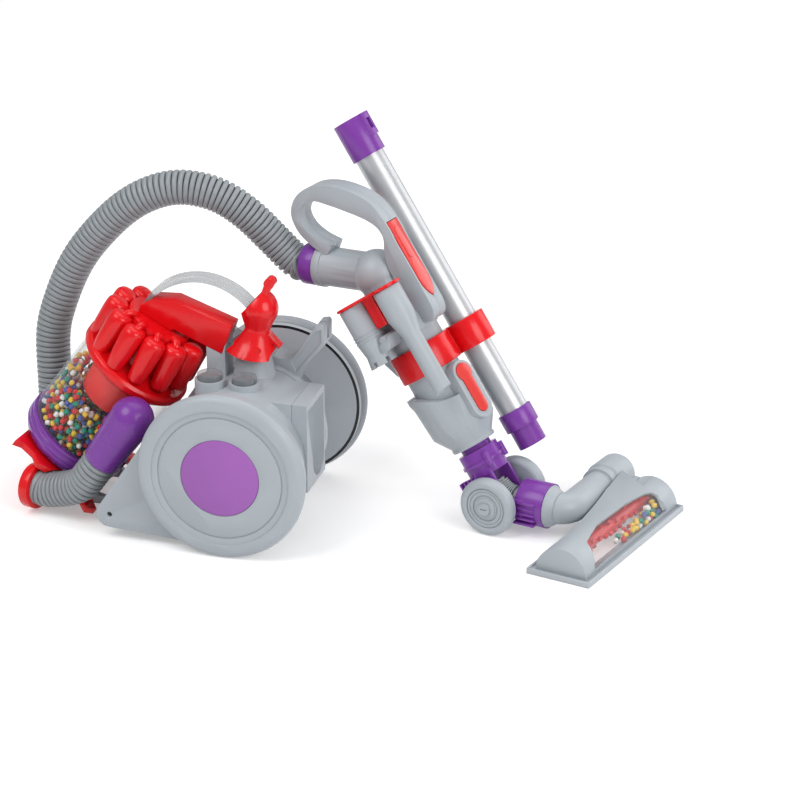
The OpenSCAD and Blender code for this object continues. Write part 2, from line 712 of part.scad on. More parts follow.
// Ribbed hoses: two rings to a rib, swept along hand-chosen routes.
cuff_far = cuff_s + cuff_l;
function wand_point(x, z) = [yawed([x, 0]).x, yawed([x, 0]).y, z];
ball_x = -ball_s * sin(wand_lean);
ball_z = pivot_z + ball_s * cos(wand_lean);
function hose_end(l) = wand_point(ball_x - l * cos(tube_tilt), ball_z - l * sin(tube_tilt));
long_route = concat([far_mouth - [0, 0, hose_seat], far_mouth, far_mouth + [0, 0, 16]],
    [[-210, 58, 82], [-211, 60, 122], [-205, 61, 151], [-188, 64, 193], [-164, 67, 226], [-133, 70, 255],
    [-97, 75, 270], [-61, 80, 266], [-32, 85, 248], [-8, 90, 223]],
    [hose_end(cuff_far + 12), hose_end(cuff_far), hose_end(cuff_far - hose_seat)]);
short_route = concat([elbow_low + hose_seat * elbow_axis, elbow_low, elbow_low - 14 * elbow_axis],
    [short_mid],
    [near_mouth + 13 * near_dir, near_mouth, near_mouth - near_seat * near_dir]);
function sums(p) = [for (i = 0, s = 0; i < len(p);
    s = s + (i < len(p) - 1 ? norm(p[i + 1] - p[i]) : 0), i = i + 1) s];
function at_length(p, s, l) = let (i = max([for (k = [0:len(p) - 2]) if (s[k] <= l + 0.001) k]))
    mix(p[i], p[i + 1], (l - s[i]) / (s[i + 1] - s[i]));
module ribbed_hose(route) {
    path = spline(route, 12);
    s = sums(path);
    total = s[len(s) - 1];
    ribs = round(total / rib_pitch);
    stops = 2 * ribs;
    sides = 8;
    crest = hose_d / 2;
    base = crest - rib_depth;
    at = [for (i = [0:stops]) at_length(path, s, min(total * i / stops, total - 0.002))];
    dir = [for (i = [0:stops]) let (a = at[max(i - 1, 0)], b = at[min(i + 1, stops)]) (b - a) / norm(b - a)];
    side = [for (i = [0:stops]) let (u = cross(dir[i], [0.3, -1, 0.2])) u / norm(u)];
    function ring(i, r) = let (u = side[i], v = cross(dir[i], u))
        [for (k = [0:sides - 1]) at[i] + r * (cos(360 * k / sides) * u + sin(360 * k / sides) * v)];
    outer = [for (i = [0:stops]) each ring(i, i % 2 == 0 ? base : crest)];
    hops = [for (i = [0:6:stops - 3]) i];
    inner_at = concat(hops, [stops]);
    inner = [for (i = inner_at) each ring(i, hose_bore / 2)];
    first = len(outer);
    last = len(inner_at) - 1;
    function quad(a, b, k, flip) = let (n = (k + 1) % sides, p = a + k, q = a + n, r = b + k, t = b + n)
        flip ? [[p, t, r], [p, q, t]] : [[p, r, t], [p, t, q]];
    faces = concat(
        [for (i = [0:stops - 1], k = [0:sides - 1]) each quad(i * sides, (i + 1) * sides, k, false)],
        [for (i = [0:last - 1], k = [0:sides - 1])
            each quad(first + i * sides, first + (i + 1) * sides, k, true)],
        [for (k = [0:sides - 1]) each quad(0, first, k, true)],
        [for (k = [0:sides - 1]) each quad(stops * sides, first + last * sides, k, false)]);
    polyhedron(concat(outer, inner), faces);
}
module long_hose() { color("#8f9498") canister() ribbed_hose(long_route); }
module short_hose() { color("#8f9498") canister() ribbed_hose(short_route); }

// Cuff on the hose end, and the elbow tube that swivels on it.
module hose_cuff() {
    color(purple) along_elbow() difference() {
        union() {
            translate([0, 0, cuff_s + gap]) cylinder(r = elbow_d / 2 + 1, h = cuff_l - gap);
            translate([0, 0, cuff_s - 12]) cylinder(r = spigot_r, h = 13);
        }
        translate([0, 0, cuff_far - hose_seat]) cylinder(r = hose_d / 2 + nest, h = 30);
        translate([0, 0, cuff_s - 20]) cylinder(r = hose_bore / 2, h = 60);
    }
}
module elbow_tube() {
    color(grey) union() {
        difference() {
            union() {
                along_wand() translate([0, 0, ball_s]) sphere(ball_r);
                along_elbow() cylinder(r = elbow_d / 2, h = cuff_s);
                along_elbow() translate([0, 0, cuff_s - ring_s]) cylinder(r = ring_r, h = ring_s);
                along_wand() translate([0, 0, neck_s]) cylinder(r = neck_r, h = ball_s - neck_s);
            }
            along_elbow() translate([0, 0, cuff_s - 14]) cylinder(r = spigot_r + run, h = 40);
        }
    }
}

// Moulded handle in two halves: finger loop, then the spine down the front of the barrel.
grip_line = [[-172, 225, 6], [-187, 231, 4.6], [-200, 240, 4], [-206.5, 253, 4], [-202, 266, 5],
    [-189, 275, 6.5], [-170, 276.5, 9], [-150, 274, 9.5], [-134, 269.5, 8.5], [-121.5, 261.5, 5.5],
    [-114.2, 253.6, 4.8],
    [-110.5, 246.5, 5.6], [-107.2, 236.6, 8.4], [-100.5, 223.5, 10.5], [-84, 199.5, 10.5], [-74.5, 186, 9.5],
    [-72.5, 179, 5]];
module handle_half(y0, y1) {
    color(grey) difference() {
        wand() xz_slab(y0, y1) polygon(band_outline(spline(grip_line, 5)));
        along_wand() translate([0, 0, ball_s]) sphere(ball_r + nest);
        along_elbow() cylinder(r = elbow_d / 2 + nest, h = cuff_s);
        along_elbow() translate([0, 0, cuff_s - ring_s - nest]) cylinder(r = ring_r + nest, h = ring_s + 20);
        along_wand() barrel_form(ball_s, nest);
        along_wand() translate([33, 0, 0]) rotate([90, 0, 90]) linear_extrude(30) rocker_plan(2 * gap);
        along_wand() translate([38, 0, rocker_s]) y_cyl(rocker_pin_r + run, -grip_h + 1, grip_h - 1);
    }
}
module handle_near() { handle_half(-grip_h, 0); }
module handle_far() { handle_half(0, grip_h); }
module rocker_plan(c) {
    h = rocker_w / 2;
    r = 3 * h + c;
    flank = arc([2 * h, rocker_s0], r, 180, 180 + acos(2 * h / r), 10);
    polygon(concat([[-h - c, rocker_s1 + c]], flank, reversed([for (p = flank) [-p.x, p.y]]),
        [[h + c, rocker_s1 + c]]));
}
module handle_rocker() {
    color(red) along_wand() {
        translate([37, 0, 0]) rotate([90, 0, 90]) linear_extrude(5) rocker_plan(0);
        translate([38, 0, rocker_s]) y_cyl(rocker_pin_r, -grip_h + 1.3, grip_h - 1.3);
        for (s = [226, 248]) translate([41.6, 0, s]) x_cyl(4.5, 0, 1);
        translate([41.6, -4.5, 226]) cube([1, 9, 22]);
    }
}

// Barrel, cup and the fittings on them.
module barrel_form(top, c) {
    rotate_extrude() polygon([[0, barrel_s0 - c], [barrel_r + c, barrel_s0 - c], [barrel_r + c, shoulder_s - c],
        [shoulder_r + c, shoulder_s - c], [shoulder_r + c, shoulder_s + 15], [neck_r + c, shoulder_s + 28],
        [neck_r + c, top], [0, top]]);
}
module wand_barrel() {
    color(grey) along_wand() union() {
        barrel_form(neck_s, 0);
        box([-barrel_r - 9, -5, band_s + band_h + 1], [-barrel_r + 4, 5, band_s + band_h + 13]);
        xz_slab(-5, 5) polygon([[-barrel_r - 9, band_s + band_h + 13], [-barrel_r - 14, band_s + band_h - 2],
            [-barrel_r - 8, band_s + 9], [-barrel_r - 5, band_s + 11], [-barrel_r - 5, band_s + band_h + 5]]);
    }
}
module lower_cup() {
    rim = [[-60, 132, 0], [-22, 113.5, 0], [-12, 111, 0], [-1.4, 106.3, 0], [11.3, 101, 0], [23.7, 98.5, 0],
        [40, 98, 0]];
    rim_curve = [for (p = spline(rim, 4)) [p.x, p.y]];
    color(grey) along_wand() difference() {
        union() {
            difference() {
                rotate_extrude() polygon([[0, cup_s0], [20, cup_s0], [20.8, cup_s0 + 2], [20, cup_s0 + 4],
                    [cup_r - 2.5, cup_s0 + 19], [cup_r - 0.7, cup_s1 - 9], [cup_r + 1, cup_s1 - 3],
                    [cup_r + 1, cup_s1 + 2], [0, cup_s1 + 2]]);
                xz_slab(-60, 60) polygon(concat(rim_curve, [[40, 150], [-60, 150]]));
            }
            at_latch(0) linear_extrude(latch_x) {
                translate([-11, 0]) square([22, latch_l]);
                circle(11);
                translate([0, latch_l]) circle(11);
            }
        }
        translate([0, 0, barrel_s0]) cylinder(r = barrel_r + nest, h = 60);
        at_latch(latch_x - 6.5) linear_extrude(20) latch_plan(gap);
        rotate([0, 0, -latch_turn]) translate([latch_x - 2.4, 0, latch_pin_s]) y_cyl(1.5 + run, -9.5, 9.5);
    }
}
module at_latch(x) {
    rotate([0, 0, -latch_turn]) translate([x, 0, latch_s0]) rotate([90, 0, 90]) children();
}
module latch_plan(c) {
    translate([-5.5 - c, 0]) square([11 + 2 * c, latch_l]);
    circle(5.5 + c);
    translate([0, latch_l]) circle(8 + c);
}
module wand_latch() {
    color("#c2242a") along_wand() {
        at_latch(latch_x - 3.2) linear_extrude(4.4) latch_plan(0);
        rotate([0, 0, -latch_turn]) translate([latch_x - 2.4, 0, latch_pin_s]) y_cyl(1.5, -9.2, 9.2);
    }
}
module clip_band() {
    color(red) along_wand() translate([0, 0, band_s]) linear_extrude(band_h) difference() {
        union() {
            circle(barrel_r + 3.6);
            translate([ext_x, ext_y]) circle(ext_r + 6);
            rotate(atan2(ext_y, ext_x)) translate([barrel_r - 4, -5])
                square([norm([ext_x, ext_y]) - barrel_r, 14]);
        }
        circle(barrel_r + nest);
        translate([ext_x, ext_y]) circle(ext_r + run);
    }
}
peg_l = 14;
module tool_holder() {
    mid = (crevice_x + brush_x) / 2;
    color(red) along_wand() difference() {
        union() {
            translate([0, 0, plate_s]) linear_extrude(plate_t) {
                translate([brush_x, tool_y - 13]) square([crevice_x - brush_x, 26]);
                translate([brush_x, tool_y]) circle(brush_d / 2 + 1.5);
                translate([crevice_x, tool_y]) circle(crevice_d / 2 + 1.5);
            }
            translate([brush_x, tool_y, plate_s - peg_l]) cylinder(r = brush_d / 2 - 2, h = peg_l + 1);
            translate([crevice_x, tool_y, plate_s - peg_l]) cylinder(r = crevice_d / 2 - 2, h = peg_l + 1);
            box([mid - 6, tool_y - 4, 182], [mid + 6, tool_y + 6, plate_s + 1]);
            box([mid - 6, tool_y, 182], [mid + 6, -8, 194]);
        }
        barrel_form(230, nest);
    }
}
module crevice_tool() {
    r = crevice_d / 2;
    tip = 8.2;
    bore = r - 2 + run;
    color(grey) along_wand() translate([crevice_x, tool_y, 0]) difference() {
        rotate_extrude() polygon([[tip - 1.6, 106], [tip, 106], [tip, 164], [r, 183], [r, plate_s - gap],
            [bore, plate_s - gap], [bore, plate_s - peg_l - gap], [bore - 2, 183], [tip - 1.6, 164]]);
        translate([0, 0, 109]) rotate([0, -12, 0]) translate([-30, -20, -40]) cube([60, 40, 40]);
    }
}
module brush_tool() {
    r = brush_d / 2;
    bore = r - 2 + run;
    color(grey) along_wand() translate([brush_x, tool_y, 0]) difference() {
        union() {
            rotate_extrude() polygon([[bore - 2, 153], [r, 153], [r - 1.6, 164], [r, 176], [r, plate_s - gap],
                [bore, plate_s - gap], [bore, plate_s - peg_l - gap], [bore - 2, 190]]);
            for (s = [178, 181, 184]) translate([0, 0, s]) rotate_extrude() translate([r, 0])
                circle(0.7, $fn = 16);
            xz_slab(-9, 9) polygon(concat([[r - 3, 161], [r - 3, 168]], arc([r + 4.5, 171], 4, 200, -20, 10),
                [[r + 10, 173], [r + 9.5, 167], [r + 6, 162]]));
        }
        for (a = [0:60:300]) rotate([0, 0, a + 30]) box([r - 6, -2, 150], [r + 6, 2, 158]);
    }
}

// Extension tube held in the clip band.
module on_extension() { along_wand() translate([ext_x, ext_y, 0]) children(); }
module extension_tube() {
    color(clear) on_extension() difference() {
        translate([0, 0, ext_s]) cylinder(r = ext_r, h = tube_l);
        translate([0, 0, ext_s - 1]) cylinder(r = ext_r - tube_wall, h = tube_l + 2);
    }
}
module extension_socket() {
    s0 = ext_s + tube_l;
    color(purple) on_extension() difference() {
        union() {
            translate([0, 0, s0 - 8]) cylinder(r = socket_r, h = socket_l + 8);
            intersection() {
                box([ext_r, -6, s0 + 6], [socket_r + 3, 6, s0 + socket_l]);
                translate([0, 0, s0]) cylinder(r = socket_r + 2.6, h = socket_l);
            }
        }
        translate([0, 0, s0 - 9]) cylinder(r = ext_r + nest, h = 9);
        translate([0, 0, s0 - 1]) cylinder(r = ext_r - tube_wall, h = 3);
        translate([0, 0, s0 + 2]) cylinder(r = ext_r - 0.2, h = 60);
        box([socket_r - 1, -2.5, s0 + 12], [socket_r + 9, 2.5, s0 + socket_l - 6]);
    }
}
module extension_collar() {
    color(purple) on_extension() difference() {
        union() {
            translate([0, 0, ext_s - collar_l]) cylinder(r = socket_r, h = collar_l + 8);
            translate([0, 0, ext_s - collar_l - spig_l]) cylinder(r = ext_r - 0.3, h = spig_l + 1);
        }
        translate([0, 0, ext_s]) cylinder(r = ext_r + nest, h = 20);
        translate([0, 0, ext_s - 60]) cylinder(r = ext_r - tube_wall, h = 70);
    }
}

// Swivel foot.
module swivel_upper() {
    color(purple) along_wand() difference() {
        union() {
            translate([0, 0, 24]) cylinder(r = 18.5, h = cup_s0 - 5 - 24);
            translate([0, 0, cup_s0 - 6]) cylinder(r = 14, h = 6);
            translate([0, 0, 34]) cylinder(r = 20, h = 3);
            for (s = [-1, 1]) {
                translate([0, s > 0 ? cheek_y : -cheek_y - cheek_t, 0]) {
                    y_cyl(12, 0, cheek_t);
                    box([-12, 0, 0], [12, cheek_t, 27]);
                }
                for (i = [0:4]) translate([-22 + i * 4.4, s > 0 ? cheek_y : -20, 0])
                    box([0, 0, 12 - i * 0.6], [1.8, 7.5, 27]);
                translate([0, s > 0 ? cheek_y : -cheek_y - 3, 0]) box([-22, 0, 14], [-8, 3, 27]);
                for (x = [9, 14]) translate([x, s * 13, 30]) cylinder(r = 3.2, h = 13);
            }
        }
        y_cyl(swivel_pin_r + run, -40, 40);
        translate([0, 0, 20]) cylinder(r = 12.5, h = 10);
        y_cyl(21.5, -cheek_y, cheek_y);
        for (s = [-1, 1]) mirror([0, s < 0 ? 1 : 0, 0]) y_cyl(lug_r + 2 * gap, lug_y - gap, lug_y + 20);
    }
}
module swivel_axle() {
    head_r = 5.5;
    head_t = 2.4;
    color("silver") at_pivot() for (s = [-1, 1]) mirror([0, s < 0 ? 1 : 0, 0]) {
        y_cyl(swivel_pin_r, cheek_y, foot_y1 + gap + 0.5);
        difference() {
            y_cyl(head_r, foot_y1 + gap, foot_y1 + head_t);
            box([-3, foot_y1 + head_t - 1, -0.6], [3, foot_y1 + head_t + 1, 0.6]);
        }
    }
}
module foot_wheel() {
    lip = 5;
    face = foot_w - 1.4;
    rotate([-90, 0, 0]) rotate_extrude($fn = 96) difference() {
        union() {
            translate([foot_d / 2 - lip, foot_w - lip]) circle(lip, $fn = 32);
            translate([foot_d / 2 - lip, lip]) circle(lip, $fn = 32);
            translate([foot_d / 2 - lip, lip]) square([lip, max(foot_w - 2 * lip, 0.2)]);
            translate([swivel_pin_r + run, 0]) square([foot_d / 2 - lip - swivel_pin_r - run, face]);
            translate([swivel_pin_r + run, 0]) square([6.5, foot_w]);
        }
        translate([foot_d / 2 - 8.4, face - 0.8]) square([0.8, 4]);
        translate([foot_d / 2 - 11, face - 0.6]) square([0.5, 4]);
        translate([11, face - 0.8]) square([1.2, 4]);
    }
}
module at_pivot() { wand() translate([0, 0, pivot_z]) children(); }
module near_foot_wheel() { color(grey) at_pivot() mirror([0, 1, 0]) translate([0, foot_y0, 0]) foot_wheel(); }
module far_foot_wheel() { color(grey) at_pivot() translate([0, foot_y0, 0]) foot_wheel(); }
module swivel_lower() {
    color(purple) wand() translate([0, 0, pivot_z]) difference() {
        union() {
            x_cyl(sleeve_r, sleeve_x0, sleeve_x1);
            for (s = [-1, 1]) translate([0, s > 0 ? lug_y : -lug_y - lug_t, 0]) {
                y_cyl(lug_r, 0, lug_t);
                box([0, 0, -lug_r], [sleeve_x0 + 8, lug_t, 8]);
            }
            for (i = [0:4]) translate([0, 0, -14 + i * 4.8])
                box([sleeve_x0, gap - foot_y0, 0], [sleeve_x1 - 6, -10, 1.8]);
        }
        x_cyl(sleeve_bore, -40, sleeve_x1 + 1);
        y_cyl(swivel_pin_r + 0.02, -40, 40);
    }
}
module flex_duct() {
    r = 24;
    turn = 90 - wand_lean;
    t = r * tan(turn / 2);
    folds = 7;
    module along(i) { translate([t, 0, r]) rotate([0, i * turn / folds, 0]) translate([0, 0, -r]) children(); }
    color("#7f858a") at_pivot() union() {
        for (i = [0:folds]) along(i) x_cyl(8.5, -2.3, 2.3);
        for (i = [0.5:folds - 0.5]) along(i) x_cyl(11, -0.7, 0.7);
        x_cyl(8.3, t, sleeve_x0);
        x_cyl(11, t + 2.6, t + 4);
        x_cyl(sleeve_bore - nest, sleeve_x0 - 2, sleeve_x0 + 4);
    }
}

// Floor head with its neck, shell, window, sole and brush bar.
module head_neck() {
    bend = neck_x - sleeve_x1 - 1;
    color(grey) wand() translate([0, 0, neck_z]) difference() {
        union() {
            translate([0, 0, pivot_z - neck_z]) x_cyl(sleeve_bore - run, sleeve_x1 - 12, sleeve_x1 + 1);
            translate([sleeve_x1 + gap, 0, pivot_z - neck_z]) rotate([0, 90, 0])
                cylinder(r1 = sleeve_r - 1, r2 = neck_pipe_r + 0.4, h = 8);
            x_cyl(neck_pipe_r, sleeve_x1 + 1, sleeve_x1 + 1.5);
            translate([neck_x - bend, bend, 0]) rotate([0, 0, -90]) rotate_extrude(angle = 90)
                translate([bend, 0]) circle(neck_pipe_r);
            translate([neck_x, 0, 0]) y_cyl(neck_pipe_r, bend, neck_end);
            translate([neck_x, 0, 0]) y_cyl(neck_pipe_r + 2.5, sleeve_y0 - 9, sleeve_y0 - gap);
        }
        translate([0, 0, pivot_z - neck_z]) x_cyl(sleeve_bore - 3, sleeve_x1 - 13, sleeve_x1 + 3);
    }
}
module head_section(r) {
    intersection() {
        translate([shell_x, sole_t]) circle(r, $fn = 96);
        translate([shell_x - 60, sole_t]) square([120, 60]);
    }
}
win_y0 = -42;
win_y1 = 74;
module window_region() {
    c = [shell_x, sole_t];
    intersection() {
        xz_slab(win_y0, win_y1)
            polygon([c, c + 50 * [cos(8), sin(8)], c + 60 * [cos(43), sin(43)], c + 50 * [cos(80), sin(80)]]);
        linear_extrude(60) polygon([[shell_x + 30, win_y0 - 20], [shell_x + 1, win_y0 + 74],
            [shell_x - 5, win_y1 + 5], [shell_x + 60, win_y1 + 5], [shell_x + 60, win_y0 - 20]]);
    }
}
// Saddle that rises from the shell's top to the sleeve on the neck.
module head_saddle() {
    x0 = neck_x + neck_pipe_r + 1.5;
    difference() {
        intersection() {
            xz_slab(-30, sleeve_y0 + 6) polygon([[x0, sole_t + 4], [x0, neck_z + 13],
                [shell_x + 4, sole_t + shell_r - 1], [shell_x + 4, sole_t + 4]]);
            translate([x0 - 10, 0, 0]) rotate([90, 0, 90]) linear_extrude(60)
                polygon([[-30, 0], [-30, sole_t + 13], [sleeve_y0 + 6, neck_z + 13], [sleeve_y0 + 6, 0]]);
        }
        xz_slab(-200, 200) head_section(shell_r - wall);
    }
}
module head_shell() {
    dome = [neck_pipe_r - 5, neck_end + 3 - sleeve_y0 - 9];
    color(grey) wand() difference() {
        union() {
            difference() {
                xz_slab(shell_y0, shell_y1) head_section(shell_r);
                xz_slab(shell_y0 + wall, shell_y1 - wall) head_section(shell_r - wall);
            }
            translate([neck_x, sleeve_y0, neck_z]) rotate([-90, 0, 0]) rotate_extrude()
                polygon(concat([[0, 0], [dome.x + 7.5, 0], [dome.x + 9, 1.5]], arc(dome, 9, 0, 90, 12),
                    [[0, dome.y + 9]]));
            head_saddle();
            difference() {
                box([neck_x, sleeve_y0 + 2, sole_t + 4], [shell_x - 12, neck_end - 3, neck_z]);
                xz_slab(-200, 200) head_section(shell_r - wall);
            }
            for (y = [shell_y0 + wall, shell_y1 - wall - 3]) translate([shell_x, y, bar_z]) y_cyl(6, 0, 3);
        }
        translate([neck_x, 0, neck_z]) y_cyl(neck_pipe_r + run, sleeve_y0 - 60, neck_end + gap);
        translate([neck_x, 0, neck_z]) y_cyl(neck_pipe_r + 2.5 + gap, sleeve_y0 - 110, sleeve_y0);
        window_region();
        translate([shell_x, 0, bar_z]) y_cyl(3 + run, shell_y0 + 1, shell_y1 - 1);
    }
}
module head_window() {
    color(clear) wand() intersection() {
        xz_slab(win_y0 - 1, win_y1 + 1) difference() {
            head_section(shell_r);
            head_section(shell_r - wall);
        }
        window_region();
    }
}
module head_base() {
    lip = 2;
    x1 = head_x0 + head_w;
    color("#c3c8cb") wand() difference() {
        box([head_x0, head_y0, 0], [x1, head_y1, sole_t + 2]);
        box([head_x0 + lip, head_y0 + lip, sole_t], [x1 - lip, head_y1 - lip, 20]);
        box([shell_x - 14, shell_y0 + 10, -1], [shell_x + 14, shell_y1 - 10, 20]);
    }
}
module brush_bar() {
    y0 = shell_y0 + wall + 3 + gap;
    y1 = shell_y1 - wall - 3 - gap;
    pitch = (y1 - y0 - 12) / (tooth_rings - 1);
    color(red) wand() translate([shell_x, 0, bar_z]) union() {
        y_cyl(bar_d / 2 - 2, y0, y1);
        y_cyl(3, y0 - 3, y1 + 3);
        for (i = [0:tooth_rings - 1]) translate([0, y0 + 4 + i * pitch, 0]) rotate([0, i * 20, 0])
            xz_slab(0, 4) for (a = [0:90:270]) rotate(a) translate([-1.6, 0]) square([3.2, bar_d / 2 + 0.6]);
    }
}
module head_beads() {
    color("gold") wand() for (i = [0:11])
        translate([shell_x + 17.5, win_y0 + 10 + i * 11, sole_t + bead_d / 2 + 0.2])
            sphere(bead_d / 2, $fn = 24);
}

body_shell();
base_pan();
near_fairing();
far_fairing();
case_screws();
near_wheel();
far_wheel();
near_cap();
far_cap();
wheel_axle();
front_roller();
dust_drawer();
front_button();
rear_button();
batteries();
battery_door();
parking_bracket();
bin_cylinder();
bin_base();
bin_beads();
whirl_fan();
drive_motor();
cyclone_shroud();
cyclone_cap();
top_beam();
carry_handle();
release_lever();
inlet_elbow();
front_yoke();
short_hose();
long_hose();
hose_cuff();
elbow_tube();
handle_near();
handle_far();
handle_rocker();
wand_barrel();
lower_cup();
wand_latch();
clip_band();
tool_holder();
crevice_tool();
brush_tool();
extension_tube();
extension_socket();
extension_collar();
swivel_upper();
flex_duct();
swivel_lower();
swivel_axle();
near_foot_wheel();
far_foot_wheel();
head_neck();
head_shell();
head_window();
head_base();
brush_bar();
head_beads();
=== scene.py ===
import bpy
import json
import math
import random
from mathutils import Matrix, Vector


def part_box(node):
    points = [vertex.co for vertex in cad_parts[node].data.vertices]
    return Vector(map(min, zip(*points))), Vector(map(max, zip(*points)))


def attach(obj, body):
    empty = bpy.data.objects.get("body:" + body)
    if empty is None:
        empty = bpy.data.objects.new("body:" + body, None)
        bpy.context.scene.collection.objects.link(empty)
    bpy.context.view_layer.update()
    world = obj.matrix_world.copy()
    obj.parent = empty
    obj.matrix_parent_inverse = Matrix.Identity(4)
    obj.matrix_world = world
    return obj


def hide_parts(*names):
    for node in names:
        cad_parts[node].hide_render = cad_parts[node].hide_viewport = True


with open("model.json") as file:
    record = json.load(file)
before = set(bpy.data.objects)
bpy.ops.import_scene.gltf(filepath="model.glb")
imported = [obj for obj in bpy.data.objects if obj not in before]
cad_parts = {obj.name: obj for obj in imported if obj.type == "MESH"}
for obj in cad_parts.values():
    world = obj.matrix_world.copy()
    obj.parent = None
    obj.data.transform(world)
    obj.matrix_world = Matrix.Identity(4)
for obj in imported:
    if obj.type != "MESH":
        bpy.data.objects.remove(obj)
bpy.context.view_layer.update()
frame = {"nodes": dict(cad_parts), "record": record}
nodes = frame["nodes"]
mm = 0.001
print("frame loaded:", len(nodes), "nodes")

# The canister's own origin is the floor point under its axle.
axleLow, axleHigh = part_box("wheel_axle")
canisterOrigin = Vector(((axleLow.x + axleHigh.x) / 2, (axleLow.y + axleHigh.y) / 2, 0))
wandStand = {"x": 216, "y": 36, "yaw": 15, "lean": 35, "pivotZ": 26}
binStand = {"x": -175.7, "z": 43.4, "tilt": 37}


def fromCanister(x, y, z):
    return canisterOrigin + Vector((x, y, z)) * mm


wandFloor = (Matrix.Translation(fromCanister(wandStand["x"], wandStand["y"], 0))
             @ Matrix.Rotation(math.radians(-wandStand["yaw"]), 4, "Z"))
binAxis = (Matrix.Translation(fromCanister(binStand["x"], 0, binStand["z"]))
           @ Matrix.Rotation(math.radians(binStand["tilt"]), 4, "Y"))


# Camera: a long lens above the floor, turned round towards the wand.
camera = {"target": (136, -16.1, 128.5), "azimuth": 15.39, "elevation": 22.67, "distance": 2744.5,
          "lens": 144, "sensor": 36, "clipEnd": 50}


def makeCamera():
    target = fromCanister(*camera["target"])
    az, el = math.radians(camera["azimuth"]), math.radians(camera["elevation"])
    away = Vector((math.cos(el) * math.sin(az), -math.cos(el) * math.cos(az), math.sin(el)))
    data = bpy.data.cameras.new("studioCamera")
    data.lens = camera["lens"]
    data.sensor_width = camera["sensor"]
    data.clip_end = camera["clipEnd"]
    shooter = bpy.data.objects.new("studioCamera", data)
    shooter.location = target + away * camera["distance"] * mm
    shooter.rotation_euler = (-away).to_track_quat("-Z", "Y").to_euler()
    bpy.context.scene.collection.objects.link(shooter)
    bpy.context.scene.camera = shooter


makeCamera()
print("camera placed")


# Shader sockets with maths written as expressions.
class Wire:
    def __init__(self, tree, socket):
        self.tree = tree
        self.socket = socket

    def maths(self, operation, a, b=None):
        node = self.tree.nodes.new("ShaderNodeMath")
        node.operation = operation
        for slotNumber, value in enumerate((a, b)):
            if isinstance(value, Wire):
                self.tree.links.new(value.socket, node.inputs[slotNumber])
            elif value is not None:
                node.inputs[slotNumber].default_value = value
        return Wire(self.tree, node.outputs[0])

    def __add__(self, other):
        return self.maths("ADD", self, other)

    def __mul__(self, other):
        return self.maths("MULTIPLY", self, other)


# The Mix node's colour sockets have no names of their own, so they are taken by number.
mixColour = {"first": 6, "second": 7, "result": 2}


class Shading:
    def __init__(self, tree):
        self.tree = tree

    def node(self, kind, settings=None, sockets=None, out=0):
        made = self.tree.nodes.new(kind)
        for key, value in (settings or {}).items():
            setattr(made, key, value)
        for key, value in (sockets or {}).items():
            self.feed(made, key, value)
        return Wire(self.tree, made.outputs[out])

    def feed(self, made, key, value):
        if isinstance(value, Wire):
            self.tree.links.new(value.socket, made.inputs[key])
        else:
            made.inputs[key].default_value = value

    def blend(self, factor, a, b):
        sockets = {"Factor": factor, mixColour["first"]: a, mixColour["second"]: b}
        return self.node("ShaderNodeMix", {"data_type": "RGBA"}, sockets, mixColour["result"])

    def seenRay(self):
        rays = [self.node("ShaderNodeLightPath", out=kind)
                for kind in ("Is Camera Ray", "Is Glossy Ray", "Is Transmission Ray")]
        return rays[0].maths("MAXIMUM", rays[0].maths("MAXIMUM", rays[0], rays[1]), rays[2])


class Finish(Shading):
    def __init__(self, name):
        self.material = bpy.data.materials.new(name)
        self.material.use_nodes = True
        super().__init__(self.material.node_tree)
        self.shader = self.tree.nodes["Principled BSDF"]
        self.place = self.node("ShaderNodeTexCoord", out="Object")

    def put(self, key, value):
        self.feed(self.shader, key, value)

    def noise(self, scale, detail=2, rough=0.5):
        sockets = {"Vector": self.place, "Scale": scale, "Detail": detail, "Roughness": rough}
        return self.node("ShaderNodeTexNoise", None, sockets, "Fac")

    def cloud(self, scale, detail, colour, low, high):
        self.put("Base Color", self.clouded(scale, detail, colour, low, high))

    def clouded(self, scale, detail, colour, low, high):
        return self.blend(self.noise(scale, detail), scaled(colour, low), scaled(colour, high))

    def bump(self, height, distance):
        sockets = {"Height": height, "Distance": distance, "Strength": 1.0}
        self.put("Normal", self.node("ShaderNodeBump", None, sockets, "Normal"))

    def offset(self, centre):
        return self.node("ShaderNodeVectorMath", {"operation": "SUBTRACT"}, {0: self.place, 1: centre})

    def parts(self, vector):
        split = self.node("ShaderNodeSeparateXYZ", None, {0: vector})
        return [Wire(self.tree, split.socket.node.outputs[i]) for i in range(3)]


srgb = {"knee": 0.04045, "slope": 12.92, "shift": 0.055, "power": 2.4}


def hexColour(text):
    parts = [int(text[i:i + 2], 16) / 255 for i in (1, 3, 5)]
    return [c / srgb["slope"] if c <= srgb["knee"] else ((c + srgb["shift"]) / (1 + srgb["shift"])) ** srgb["power"]
            for c in parts] + [1]


def scaled(colour, by):
    return [min(1, c * by) for c in colour[:3]] + [1]


# Moulded plastic: a faint cloud in the colour, an orange-peel skin and uneven polish.
moulded = {"cloudScale": 22, "cloudDetail": 3, "cloud": 0.05, "gapShadeColour": "#1d1f21", "polishScale": 55,
           "polishDetail": 4, "polishRough": 0.6, "polishSpread": 0.10, "peelScale": 1500, "peel": 0.00003,
           "coatRoughness": 0.08, "specular": 0.35}


